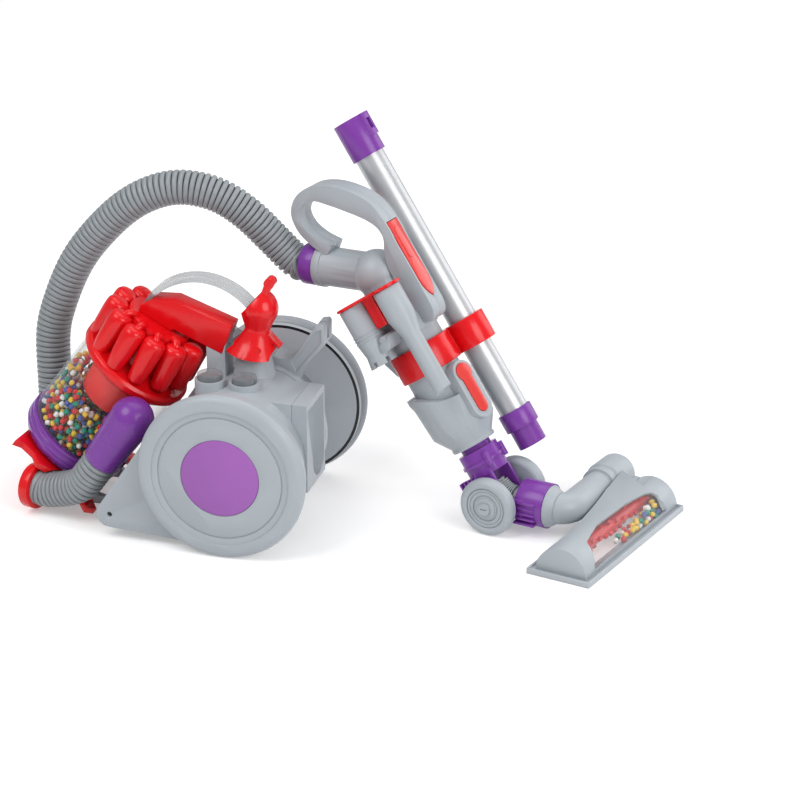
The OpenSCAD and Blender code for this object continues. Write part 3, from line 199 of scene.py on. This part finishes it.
def mouldedPlastic(name, colour, polish, peel=moulded["peel"], coat=0.0, shadeMask=None):
    f = Finish(name)
    tone = f.clouded(moulded["cloudScale"], moulded["cloudDetail"], hexColour(colour), 1 - moulded["cloud"],
                     1 + moulded["cloud"])
    # An optional mask lays a near-black painted shade over the colour.
    if shadeMask:
        tone = f.blend(shadeMask(f), tone, hexColour(moulded["gapShadeColour"]))
    f.put("Base Color", tone)
    uneven = f.noise(moulded["polishScale"], moulded["polishDetail"], moulded["polishRough"])
    f.put("Roughness", uneven * moulded["polishSpread"] + (polish - moulded["polishSpread"] / 2))
    f.bump(f.noise(moulded["peelScale"]), peel)
    f.put("Coat Weight", coat)
    f.put("Coat Roughness", moulded["coatRoughness"])
    f.put("Specular IOR Level", moulded["specular"])
    return f.material


# Clear plastic: seen through face on, greyer towards its edges.
clear = {"polishScale": 40, "polishDetail": 3, "polishSpread": 0.06, "polish": 0.07, "edgeBlend": 0.3,
         "hazeScale": 60, "haze": 0.03, "ior": 1.49, "waveScale": 120, "wave": 0.00006}


def clearPlastic(name, tint, show, edge):
    f = Finish(name)
    f.put("Base Color", hexColour(tint))
    f.put("Roughness", f.noise(clear["polishScale"], clear["polishDetail"]) * clear["polishSpread"] + clear["polish"])
    facing = f.node("ShaderNodeLayerWeight", None, {"Blend": clear["edgeBlend"]}, "Facing")
    f.put("Alpha", facing * facing * edge + f.noise(clear["hazeScale"]) * clear["haze"] + show)
    f.put("IOR", clear["ior"])
    f.bump(f.noise(clear["waveScale"]), clear["wave"])
    return f.material


# Silvered tube: satin, with long soft streaks from the lamps.
silvered = {"cloudScale": 30, "cloudDetail": 3, "low": 0.95, "high": 1.05, "metal": 0.75, "polishScale": 70,
            "polishDetail": 3, "polishSpread": 0.08, "polish": 0.36, "grainScale": 800, "grain": 0.00003}


def silveredPlastic(name, colour):
    f = Finish(name)
    f.cloud(silvered["cloudScale"], silvered["cloudDetail"], hexColour(colour), silvered["low"], silvered["high"])
    f.put("Metallic", silvered["metal"])
    uneven = f.noise(silvered["polishScale"], silvered["polishDetail"])
    f.put("Roughness", uneven * silvered["polishSpread"] + silvered["polish"])
    f.bump(f.noise(silvered["grainScale"]), silvered["grain"])
    return f.material


softPlastic = {"cloudScale": 35, "cloudDetail": 4, "low": 0.9, "high": 1.08, "polishScale": 90, "polishDetail": 3,
               "polishSpread": 0.14, "grainScale": 900, "grainDetail": 3, "grain": 0.00005}


def softHosePlastic(name, colour, polish):
    f = Finish(name)
    f.cloud(softPlastic["cloudScale"], softPlastic["cloudDetail"], hexColour(colour), softPlastic["low"],
            softPlastic["high"])
    uneven = f.noise(softPlastic["polishScale"], softPlastic["polishDetail"])
    f.put("Roughness", uneven * softPlastic["polishSpread"] + polish)
    f.bump(f.noise(softPlastic["grainScale"], softPlastic["grainDetail"]), softPlastic["grain"])
    return f.material


steel = {"colour": "#b9bcbf", "polishScale": 300, "polishSpread": 0.15, "polish": 0.28}


def groundSteel(name):
    f = Finish(name)
    f.put("Base Color", hexColour(steel["colour"]))
    f.put("Metallic", 1.0)
    f.put("Roughness", f.noise(steel["polishScale"]) * steel["polishSpread"] + steel["polish"])
    return f.material


# The far fairing has a thin dark line round the inner edge of its disc: painted shade standing for the shadowed gap
# between the fairing and the wheel.
farGapShade = {"axleZ": 75, "from": 68.6, "to": 71.2}


def gapShadeRing(f):
    x, alongAxle, z = f.parts(f.offset(tuple(fromCanister(0, 0, farGapShade["axleZ"]))))
    squared = x * x + z * z
    away = squared.maths("SQRT", squared)
    return (away.maths("GREATER_THAN", away, farGapShade["from"] * mm)
            * away.maths("LESS_THAN", away, farGapShade["to"] * mm))


greyPlastic = mouldedPlastic("greyPlastic", "#a6adb3", 0.36)
# The far fairing's grey is lighter than the other greys: painted light on its shaded inner disc, under the painted
# gap shade ring.
litDiscGapShadePlastic = mouldedPlastic("litDiscGapShadePlastic", "#bac1c7", 0.36, shadeMask=gapShadeRing)
solePlastic = mouldedPlastic("solePlastic", "#aab0b6", 0.32)
redPlastic = mouldedPlastic("redPlastic", "#dd0d16", 0.24, coat=0.1)
# A lighter red for the cyclone shroud: painted light making up for the shade under the flange.
litShroudRedPlastic = mouldedPlastic("litShroudRedPlastic", "#ff3b35", 0.3)
# A paler red for the grip rocker and wand latch: painted sheen of light on their faces, over a real clear coat.
paintedSheenRedPlastic = mouldedPlastic("paintedSheenRedPlastic", "#d93c37", 0.22, coat=0.4)
purplePlastic = mouldedPlastic("purplePlastic", "#78389a", 0.28, coat=0.1)
lilacPlastic = mouldedPlastic("lilacPlastic", "#9c5fae", 0.55, peel=0.00006)
darkPlastic = mouldedPlastic("darkPlastic", "#3f4347", 0.5)
hosePlastic = softHosePlastic("hosePlastic", "#8d9397", 0.28)
# Near-black painted shade for the creases between the hose's ribs.
grooveShadePlastic = softHosePlastic("grooveShadePlastic", "#212427", 0.5)
clearBin = clearPlastic("clearBin", "#8f9599", 0.03, 0.55)
clearArch = clearPlastic("clearArch", "#8f969b", 0.4, 0.5)
clearWindow = clearPlastic("clearWindow", "#a9aeb2", 0.06, 0.4)
silverTube = silveredPlastic("silverTube", "#c3c4c7")
steelRod = groundSteel("steelRod")
slotFinish = {"grey": greyPlastic, "red": redPlastic, "purple": purplePlastic, "lilac": lilacPlastic,
              "clear": clearArch, "hose": hosePlastic, "steel": steelRod, "screw": darkPlastic,
              "dark": darkPlastic, "cell": darkPlastic, "sole": solePlastic, "beads": redPlastic}
nodeFinish = {"bin_cylinder": clearBin, "extension_tube": silverTube, "far_fairing": litDiscGapShadePlastic,
              "swivel_axle": greyPlastic, "cyclone_shroud": litShroudRedPlastic,
              "handle_rocker": paintedSheenRedPlastic, "wand_latch": paintedSheenRedPlastic}
nodeSlot = {row["node"]: row["material_slot"] for row in frame["record"]["subparts"]}
nodeBody = {node: body for body, members in frame["record"]["behaviour"]["bodies"].items() for node in members}


def finishOf(node):
    return nodeFinish.get(node, slotFinish[nodeSlot[node]])


def dress(piece, *materials):
    piece.data.materials.clear()
    for material in materials:
        piece.data.materials.append(material)


for name, piece in nodes.items():
    dress(piece, finishOf(name))
print("finishes on the solids")


# Steps that the modelled pieces share. Angles are the sharpest edge that still shades smooth, in degrees.
smoothUpTo = {"hose": 50, "moulding": 32, "sheet": 40, "crown": 40, "bead": 60}


def deselectAll():
    if bpy.context.mode != "OBJECT":
        bpy.ops.object.mode_set(mode="OBJECT")
    bpy.ops.object.select_all(action="DESELECT")


def pick(piece):
    deselectAll()
    piece.select_set(True)
    bpy.context.view_layer.objects.active = piece


def applyAll(piece):
    pick(piece)
    for modifier in list(piece.modifiers):
        bpy.ops.object.modifier_apply(modifier=modifier.name)


def editWhole():
    bpy.ops.object.mode_set(mode="EDIT")
    bpy.ops.mesh.select_all(action="SELECT")


def smoothShade(kind):
    bpy.ops.object.shade_smooth_by_angle(angle=math.radians(smoothUpTo[kind]))


def faceOutwards(kind):
    editWhole()
    bpy.ops.mesh.normals_make_consistent(inside=False)
    bpy.ops.object.mode_set(mode="OBJECT")
    smoothShade(kind)


def shapeOf(piece):
    return [v.co.copy() for v in piece.data.vertices], [list(f.vertices) for f in piece.data.polygons]


def meshOfCopies(name, shape, placers):
    points, faces = [], []
    for place in placers:
        start = len(points)
        points += [place(v) for v in shape[0]]
        faces += [[start + i for i in face] for face in shape[1]]
    mesh = bpy.data.meshes.new(name)
    mesh.from_pydata(points, [], faces)
    return mesh


def standFor(piece, node):
    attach(piece, nodeBody[node])
    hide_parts(node)


def addTo(piece, node):
    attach(piece, nodeBody[node])


# Ribbed hoses: one rib is modelled, repeated and bent along the hose's line. Rib places are shares of the pitch.
hose = {"crest": 14.5, "depth": 2.3, "shoulder": 0.35, "pitch": 4.9, "groove": 0.21, "slope": 0.3, "land": 0.4,
        "seat": 13, "nearSeat": 6, "sides": 32, "wall": 1.3, "merge": 0.05, "grooveShadeBand": 0.1, "steps": 12,
        "heldSpans": 2, "cordDiameters": 7}
lead = {"far": 16, "cuff": 12, "elbow": 14, "near": 13}
elbow = {"top": (-91.7, -63, 104.5), "rise": 55, "length": 52}
yokeMouth = {"near": (-186, -49, 23), "far": (-210, 58, 36), "turn": 15}
tube = {"ball": 224, "tilt": 3, "cuff": 71.5}
longBends = ((-210, 58, 82), (-211, 60, 122), (-205, 61, 151), (-188, 64, 193), (-164, 67, 226),
             (-133, 70, 255), (-97, 75, 270), (-61, 80, 266), (-32, 85, 248), (-8, 90, 223))
shortBend = (-144, -60, 34)


def curvePoint(p, i, t):
    last = len(p) - 1
    a, b, c, d = p[max(i - 1, 0)], p[i], p[min(i + 1, last)], p[min(i + 2, last)]
    return 0.5 * (2 * b + (c - a) * t + (2 * a - 5 * b + 4 * c - d) * t * t + (3 * b - a - 3 * c + d) * t ** 3)


# The ends stay straight in their sockets while the rest is evened out.
def smoothLine(points, steps, rounds):
    line = [curvePoint(points, i, k / steps) for i in range(len(points) - 1) for k in range(steps)]
    line.append(points[-1])
    held = hose["heldSpans"] * steps
    for turn in range(rounds):
        line = [p if i < held or i >= len(line) - held else (line[i - 1] + 2 * p + line[i + 1]) / 4
                for i, p in enumerate(line)]
    return line


def lineLength(line):
    return sum((b - a).length for a, b in zip(line, line[1:]))


def hoseEnd(along):
    lean, tilt = math.radians(wandStand["lean"]), math.radians(tube["tilt"])
    x = -tube["ball"] * math.sin(lean) - along * math.cos(tilt)
    z = wandStand["pivotZ"] + tube["ball"] * math.cos(lean) - along * math.sin(tilt)
    yaw = math.radians(wandStand["yaw"])
    return Vector((wandStand["x"] + x * math.cos(yaw), wandStand["y"] - x * math.sin(yaw), z))


def longRoute():
    mouth, up = Vector(yokeMouth["far"]), Vector((0, 0, 1))
    start = [mouth - hose["seat"] * up, mouth, mouth + lead["far"] * up]
    end = [hoseEnd(tube["cuff"] + ahead) for ahead in (lead["cuff"], 0, -hose["seat"])]
    return start + [Vector(bend) for bend in longBends] + end


def shortRoute():
    rise, turn = math.radians(elbow["rise"]), math.radians(yokeMouth["turn"])
    elbowWay = Vector((math.cos(rise), 0, math.sin(rise)))
    elbowLow = Vector(elbow["top"]) - elbow["length"] * elbowWay
    mouth, mouthWay = Vector(yokeMouth["near"]), Vector((math.cos(turn), -math.sin(turn), 0))
    return [elbowLow + hose["seat"] * elbowWay, elbowLow, elbowLow - lead["elbow"] * elbowWay, Vector(shortBend),
            mouth + lead["near"] * mouthWay, mouth, mouth - hose["nearSeat"] * mouthWay]


def guideLine(name, line):
    curve = bpy.data.curves.new(name + "Line", "CURVE")
    curve.dimensions = "3D"
    curve.twist_mode = "MINIMUM"
    spline = curve.splines.new("POLY")
    spline.points.add(len(line) - 1)
    for point, place in zip(spline.points, line):
        point.co = (*place, 1)
    guide = bpy.data.objects.new(name + "Line", curve)
    bpy.context.scene.collection.objects.link(guide)
    return guide


def oneRib(name, pitch):
    crest = hose["crest"] * mm
    valley, shoulder = crest - hose["depth"] * mm, crest - hose["shoulder"] * mm
    rising = [(0, valley), (hose["groove"], valley), (hose["slope"], shoulder), (hose["land"], crest)]
    profile = rising + [(1 - x, r) for x, r in reversed(rising)]
    deselectAll()
    bpy.ops.mesh.primitive_circle_add(vertices=hose["sides"], radius=valley, rotation=(0, math.pi / 2, 0))
    rib = bpy.context.object
    rib.name = name
    bpy.ops.object.transform_apply(location=True, rotation=True, scale=True)
    editWhole()
    for (x0, r0), (x1, r1) in zip(profile, profile[1:]):
        bpy.ops.mesh.extrude_region_move(TRANSFORM_OT_translate={"value": ((x1 - x0) * pitch, 0, 0)})
        if r1 != r0:
            bpy.ops.transform.resize(value=(1, r1 / r0, r1 / r0), center_override=(x1 * pitch, 0, 0))
    bpy.ops.object.mode_set(mode="OBJECT")
    dress(rib, hosePlastic, grooveShadePlastic)
    # Faces down in each groove take the near-black finish: painted shade in the hose's creases.
    for face in rib.data.polygons:
        if Vector((0, *face.center[1:])).length < valley + hose["grooveShadeBand"] * mm:
            face.material_index = 1
    return rib


def makeHose(name, route, node, rounds):
    line = [fromCanister(*p) for p in smoothLine(route, hose["steps"], rounds)]
    total = lineLength(line)
    ribs = round(total / (hose["pitch"] * mm))
    pitch = total / ribs
    guide = guideLine(name, line)
    rib = oneRib(name, pitch)
    array = rib.modifiers.new("ribs", "ARRAY")
    array.count = ribs
    array.use_relative_offset = False
    array.use_constant_offset = True
    array.constant_offset_displace = (pitch, 0, 0)
    array.use_merge_vertices = True
    array.merge_threshold = hose["merge"] * mm
    bend = rib.modifiers.new("bend", "CURVE")
    bend.object = guide
    bend.deform_axis = "POS_X"
    wall = rib.modifiers.new("wall", "SOLIDIFY")
    wall.thickness = hose["wall"] * mm
    wall.offset = -1
    applyAll(rib)
    bpy.data.objects.remove(guide)
    faceOutwards("hose")
    standFor(rib, node)
    print(name, "ribs:", ribs, "length mm:", round(total / mm))


makeHose("longRibbedHose", longRoute(), "long_hose", 14)
makeHose("shortRibbedHose", shortRoute(), "short_hose", 4)


# Head window: a curved clear sheet, whose opening is cut through the head's shell, and the grey corner beside it.
# The rim pairs a place along the head with the angle of the window's upper edge there, in degrees.
window = {"x": 97, "z": 3.5, "radius": 24, "wall": 2.4, "low": 9, "inset": 0.25, "cut": 12,
          "corner": (37, 74.2), "cornerTop": 80.6, "along": 68, "around": 14,
          "rim": ((-58, 14), (-48, 66), (-15, 83), (10, 81), (35, 79), (50, 75), (66, 69), (73, 62), (77, 46),
                  (78.5, 13))}


def windowTop(y):
    for (y0, t0), (y1, t1) in zip(window["rim"], window["rim"][1:]):
        if y <= y1:
            return t0 + (t1 - t0) * (y - y0) / (y1 - y0)
    return window["rim"][-1][1]


def curvedSheet(name, thickness, yLow, yHigh, lowOf, highOf):
    deselectAll()
    bpy.ops.mesh.primitive_grid_add(x_subdivisions=window["along"], y_subdivisions=window["around"], size=1)
    sheet = bpy.context.object
    sheet.name = name
    radius = window["radius"] - window["wall"] / 2
    for v in sheet.data.vertices:
        y = yLow + (yHigh - yLow) * (v.co.x + 0.5)
        low, high = lowOf(y), highOf(y)
        turn = math.radians(low + (high - low) * (v.co.y + 0.5))
        place = Vector((window["x"] + radius * math.cos(turn), y, window["z"] + radius * math.sin(turn)))
        v.co = wandFloor @ (place * mm)
    thick = sheet.modifiers.new("wall", "SOLIDIFY")
    thick.thickness = thickness * mm
    thick.offset = 0
    applyAll(sheet)
    faceOutwards("sheet")
    return sheet


def makeWindow():
    yLow, yHigh, inset = window["rim"][0][0], window["rim"][-1][0], window["inset"]
    pane = curvedSheet("headPane", window["wall"], yLow + inset, yHigh - inset,
                       lambda y: window["low"] + inset, lambda y: windowTop(y) - inset)
    dress(pane, clearWindow)
    standFor(pane, "head_window")
    corner = curvedSheet("headCorner", window["wall"], *window["corner"], windowTop,
                         lambda y: window["cornerTop"])
    dress(corner, greyPlastic)
    addTo(corner, "head_shell")
    return curvedSheet("paneOpening", window["cut"], yLow, yHigh, lambda y: window["low"], windowTop)


openings = {"head_shell": makeWindow()}


# Hard-edged mouldings get a rounded edge on a copy of their solid.
softEdge = {"width": 0.7, "segments": 2, "angle": 38, "weld": 0.02, "flat": 1.5, "keepFaces": ("dust_drawer",)}
softNodes = {"body_shell": "drumShell", "near_fairing": "nearSide", "far_fairing": "farSide",
             "dust_drawer": "dustDrawer", "parking_bracket": "parkingBracket", "top_beam": "topBeam",
             "release_lever": "releaseLever", "front_yoke": "frontYoke", "bin_base": "binFoot",
             "handle_near": "handleNearHalf", "handle_far": "handleFarHalf", "handle_rocker": "gripRocker",
             "lower_cup": "wandCup", "wand_barrel": "wandBarrel", "wand_latch": "wandLatch",
             "clip_band": "clipBand", "tool_holder": "toolHolder", "crevice_tool": "creviceTool",
             "brush_tool": "brushTool", "extension_socket": "tubeSocket", "extension_collar": "tubeCollar",
             "swivel_upper": "swivelUpper", "swivel_lower": "swivelLower", "near_foot_wheel": "nearFootWheel",
             "far_foot_wheel": "farFootWheel", "head_shell": "headShell", "head_base": "headSole",
             "head_neck": "headNeck", "near_wheel": "nearWheel", "far_wheel": "farWheel", "near_cap": "nearCap",
             "far_cap": "farCap", "front_button": "frontButton", "rear_button": "rearButton",
             "base_pan": "basePan", "inlet_elbow": "inletElbow", "hose_cuff": "hoseCuff",
             "elbow_tube": "elbowTube", "cyclone_cap": "cycloneCrown", "flex_duct": "swivelBellows"}


def weldedCopy(node, pieceName):
    piece = bpy.data.objects.new(pieceName, nodes[node].data.copy())
    bpy.context.scene.collection.objects.link(piece)
    pick(piece)
    editWhole()
    bpy.ops.mesh.remove_doubles(threshold=softEdge["weld"] * mm)
    if node not in softEdge["keepFaces"]:
        bpy.ops.mesh.dissolve_limited(angle_limit=math.radians(softEdge["flat"]))
    bpy.ops.object.mode_set(mode="OBJECT")
    return piece


def cutAway(piece, cutter):
    step = piece.modifiers.new("opening", "BOOLEAN")
    step.operation = "DIFFERENCE"
    step.solver = "EXACT"
    step.object = cutter
    applyAll(piece)
    bpy.data.objects.remove(cutter)


def softCopy(node, pieceName):
    piece = weldedCopy(node, pieceName)
    if node in openings:
        cutAway(piece, openings[node])
    bevel = piece.modifiers.new("edge", "BEVEL")
    bevel.width = softEdge["width"] * mm
    bevel.segments = softEdge["segments"]
    bevel.limit_method = "ANGLE"
    bevel.angle_limit = math.radians(softEdge["angle"])
    bevel.use_clamp_overlap = True
    applyAll(piece)
    smoothShade("moulding")
    standFor(piece, node)


for node, pieceName in softNodes.items():
    softCopy(node, pieceName)
print("edges rounded on", len(softNodes), "mouldings")


# Crown: one tapered pod is drawn up from a ring, one duct is bent over it, and both are set round the crown.
# The pod's profile pairs heights with radii.
crown = {"up": 116, "lean": 8, "ring": 43.4, "pods": 12, "base": 0.5, "podLean": 6, "sides": 28,
         "profile": ((0, 5.4), (0.9, 6.9), (3, 7.8), (15, 9.0), (30, 10.4), (36, 10.6), (40, 10.1), (42.3, 8.5),
                     (43.4, 5.6), (43.7, 2.6)), "weld": 0.01,
         "ductRing": 30.5, "ductUp": 43.5, "ductBend": 9.4, "ductThick": 4.3, "ductSides": 14, "ductSteps": 14,
         "ductFront": 0.4}


def moveBy(matrix):
    return lambda point: matrix @ point


def roundCrown(piece, spots):
    piece.data = meshOfCopies(piece.name, shapeOf(piece), [moveBy(spot) for spot in spots])
    pick(piece)
    smoothShade("crown")
    dress(piece, redPlastic)
    addTo(piece, "cyclone_cap")


def startRing(name, sides, radius, x=0):
    deselectAll()
    bpy.ops.mesh.primitive_circle_add(vertices=sides, radius=radius * mm, fill_type="NGON", location=(x * mm, 0, 0))
    piece = bpy.context.object
    piece.name = name
    bpy.ops.object.transform_apply(location=True, rotation=True, scale=True)
    editWhole()
    return piece


def closeUp():
    bpy.ops.mesh.select_all(action="SELECT")
    bpy.ops.mesh.remove_doubles(threshold=crown["weld"] * mm)
    bpy.ops.mesh.normals_make_consistent(inside=False)
    bpy.ops.object.mode_set(mode="OBJECT")


def makeCrown():
    crownAxis = (binAxis @ Matrix.Translation((0, 0, crown["up"] * mm))
                 @ Matrix.Rotation(math.radians(-crown["lean"]), 4, "Y"))
    turns = [2 * math.pi * (k + 0.5) / crown["pods"] for k in range(crown["pods"])]
    profile = crown["profile"]
    pod = startRing("crownPods", crown["sides"], profile[0][1])
    for (z0, r0), (z1, r1) in zip(profile, profile[1:]):
        bpy.ops.mesh.extrude_region_move(TRANSFORM_OT_translate={"value": (0, 0, (z1 - z0) * mm)})
        bpy.ops.transform.resize(value=(r1 / r0, r1 / r0, 1), center_override=(0, 0, z1 * mm))
    closeUp()
    roundCrown(pod, [crownAxis @ Matrix.Rotation(turn, 4, "Z")
                     @ Matrix.Translation((crown["ring"] * mm, 0, crown["base"] * mm))
                     @ Matrix.Rotation(math.radians(-crown["podLean"]), 4, "Y") for turn in turns])
    duct = startRing("crownDucts", crown["ductSides"], crown["ductThick"], crown["ductBend"])
    bpy.ops.mesh.spin(steps=crown["ductSteps"], angle=math.pi, center=(0, 0, 0), axis=(0, -1, 0))
    closeUp()
    roundCrown(duct, [crownAxis @ Matrix.Rotation(turn, 4, "Z")
                      @ Matrix.Translation((crown["ductRing"] * mm, 0, crown["ductUp"] * mm))
                      for turn in turns if abs(math.sin(turn)) > crown["ductFront"]])


makeCrown()
print("crown pods and ducts set")


# Loose beads: one barrel-shaped bead, then hundreds of copies turned at random.
# Each colour has its share of a hundred beads.
beadColours = {"Yellow": ("#fad23c", 26), "White": ("#fdfaf6", 22), "Green": ("#1c9a7f", 19),
               "Red": ("#e23237", 21), "Blue": ("#5163b2", 12)}
bead = {"radius": 2.5, "height": 4.7, "sides": 8, "round": 1.1, "roundSteps": 2, "level": 0.1, "apart": 5.0,
        "polish": 0.28, "peel": 0.00002, "seed": 7}
beadFinish = {colour: mouldedPlastic("bead" + colour, code, bead["polish"], peel=bead["peel"])
              for colour, (code, share) in beadColours.items()}


def makeBead():
    deselectAll()
    bpy.ops.mesh.primitive_cylinder_add(vertices=bead["sides"], radius=bead["radius"] * mm,
                                        depth=bead["height"] * mm)
    master = bpy.context.object
    bpy.ops.object.mode_set(mode="EDIT")
    bpy.ops.mesh.select_all(action="DESELECT")
    bpy.ops.object.mode_set(mode="OBJECT")
    for edge in master.data.edges:
        ends = [master.data.vertices[i].co.z for i in edge.vertices]
        edge.select = abs(ends[0] - ends[1]) < bead["level"] * mm
    bpy.ops.object.mode_set(mode="EDIT")
    bpy.ops.mesh.bevel(offset=bead["round"] * mm, segments=bead["roundSteps"])
    bpy.ops.object.mode_set(mode="OBJECT")
    shape = shapeOf(master)
    bpy.data.objects.remove(master)
    return shape


beadShape = makeBead()


def keepApart(places, room):
    cells, kept = {}, []
    for place in places:
        key = tuple(int(c // room) for c in place)
        near = [q for i in (-1, 0, 1) for j in (-1, 0, 1) for k in (-1, 0, 1)
                for q in cells.get((key[0] + i, key[1] + j, key[2] + k), [])]
        if all((q - place).length >= room for q in near):
            cells.setdefault(key, []).append(place)
            kept.append(place)
    return kept


def tumbled(place, frameMatrix, dice):
    turn = (Matrix.Rotation(dice.uniform(0, math.pi), 3, dice.choice("XYZ"))
            @ Matrix.Rotation(dice.uniform(0, math.pi), 3, "X"))
    return lambda point: frameMatrix @ (turn @ point + place * mm)


def scatterBeads(title, node, places, frameMatrix, dice):
    heaps = {colour: [] for colour in beadColours}
    names, weights = list(beadColours), [share for code, share in beadColours.values()]
    for place in places:
        heaps[dice.choices(names, weights)[0]].append(place)
    for colour, heap in heaps.items():
        mesh = meshOfCopies(title + colour, beadShape, [tumbled(place, frameMatrix, dice) for place in heap])
        piece = bpy.data.objects.new(title + colour, mesh)
        bpy.context.scene.collection.objects.link(piece)
        pick(piece)
        smoothShade("bead")
        dress(piece, beadFinish[colour])
        standFor(piece, node)
    print(title, "beads:", len(places))


def onCircle(radius, angle, z):
    return Vector((radius * math.cos(angle), radius * math.sin(angle), z))


# In the bin the beads whirl up along the wall, higher at the front and thinner towards the top, over a heap.
binRoom = {"layers": (43.2, 38.4, 33.6, 28), "low": 24.8, "mid": 60, "lift": 19, "thin": 0.85, "wallFrom": 36,
           "shroudLow": 60, "tries": 9000, "cup": 36, "heap": (17, 27)}


def binBeads():
    dice = random.Random(bead["seed"])
    places = []
    for attempt in range(binRoom["tries"]):
        angle = dice.uniform(0, 2 * math.pi)
        radius = dice.choice(binRoom["layers"])
        top = binRoom["mid"] + binRoom["lift"] * max(0, -math.cos(angle))
        z = dice.uniform(binRoom["low"], top)
        share = (z - binRoom["low"]) / (top - binRoom["low"])
        clearOfShroud = radius > binRoom["wallFrom"] or z < binRoom["shroudLow"]
        if dice.random() < 1 - binRoom["thin"] * share and clearOfShroud:
            places.append(onCircle(radius, angle, z))
    for attempt in range(binRoom["tries"]):
        angle, radius = dice.uniform(0, 2 * math.pi), binRoom["cup"] * math.sqrt(dice.random())
        places.append(onCircle(radius, angle, dice.uniform(*binRoom["heap"])))
    scatterBeads("binBeads", "bin_beads", keepApart(places, bead["apart"]), binAxis, dice)


# In the head they lie in front of the brush bar, heaped towards its far end.
headRoom = {"x": 97, "soleZ": 3.5, "barZ": 14, "barClear": 11.4, "shellClear": 18.9, "y": (2, 75),
            "ahead": (8, 19), "above": (2.6, 13), "heapLow": 3, "heapRise": 11, "tries": 5000}


def headBeads():
    dice = random.Random(bead["seed"] + 1)
    places = []
    yLow, yHigh = headRoom["y"]
    for attempt in range(headRoom["tries"]):
        x, z = dice.uniform(*headRoom["ahead"]), dice.uniform(*headRoom["above"])
        y = yLow + (yHigh - yLow) * math.sqrt(dice.random())
        heap = headRoom["heapLow"] + headRoom["heapRise"] * (y - yLow) / (yHigh - yLow)
        fromBar = Vector((x, z + headRoom["soleZ"] - headRoom["barZ"]))
        inShell = Vector((x, z)).length < headRoom["shellClear"]
        if fromBar.length > headRoom["barClear"] and inShell and z < heap:
            places.append(Vector((headRoom["x"] + x, y, headRoom["soleZ"] + z)))
    lowestFirst = sorted(places, key=lambda p: p.z)
    scatterBeads("headBeads", "head_beads", keepApart(lowestFirst, bead["apart"]), wandFloor, dice)


binBeads()
headBeads()


# White studio: floor, surround and soft lamps. Each lamp has its place, size and power.
studio = {"floor": 0.85, "floorSize": 12, "floorRough": 0.9, "floorSpecular": 0.1, "lift": 0.31, "sky": 0.42,
          "aim": (0, 0, 0.12),
          "lamps": {"keyLamp": ((-1.0, -1.3, 2.3), 1.6, 34), "fillLamp": ((1.9, -1.2, 1.2), 1.4, 27),
                    "topLamp": ((0.3, 0.8, 2.4), 2.0, 18), "backLamp": ((1.7, 1.6, 0.95), 1.5, 14)}}


def makeFloor():
    deselectAll()
    bpy.ops.mesh.primitive_plane_add(size=studio["floorSize"], location=(0, 0, 0))
    floor = bpy.context.object
    floor.name = "studioFloor"
    f = Finish("studioFloor")
    f.put("Base Color", [studio["floor"]] * 3 + [1])
    f.put("Roughness", studio["floorRough"])
    f.put("Specular IOR Level", studio["floorSpecular"])
    glow = f.node("ShaderNodeEmission", None, {"Strength": f.seenRay() * studio["lift"]})
    both = f.node("ShaderNodeAddShader", None, {0: Wire(f.tree, f.shader.outputs[0]), 1: glow})
    f.feed(f.tree.nodes["Material Output"], "Surface", both)
    dress(floor, f.material)


def makeSky():
    world = bpy.data.worlds.new("studioSky")
    bpy.context.scene.world = world
    world.use_nodes = True
    sky = Shading(world.node_tree)
    back = world.node_tree.nodes["Background"]
    sky.feed(back, "Color", (1, 1, 1, 1))
    sky.feed(back, "Strength", studio["sky"])


def makeLamps():
    for name, (place, size, power) in studio["lamps"].items():
        data = bpy.data.lights.new(name, "AREA")
        data.size = size
        data.energy = power
        lamp = bpy.data.objects.new(name, data)
        lamp.location = place
        lamp.rotation_euler = (Vector(studio["aim"]) - Vector(place)).to_track_quat("-Z", "Y").to_euler()
        bpy.context.scene.collection.objects.link(lamp)


makeFloor()
makeSky()
makeLamps()
bpy.context.scene.view_settings.view_transform = "Standard"
print("studio lit")
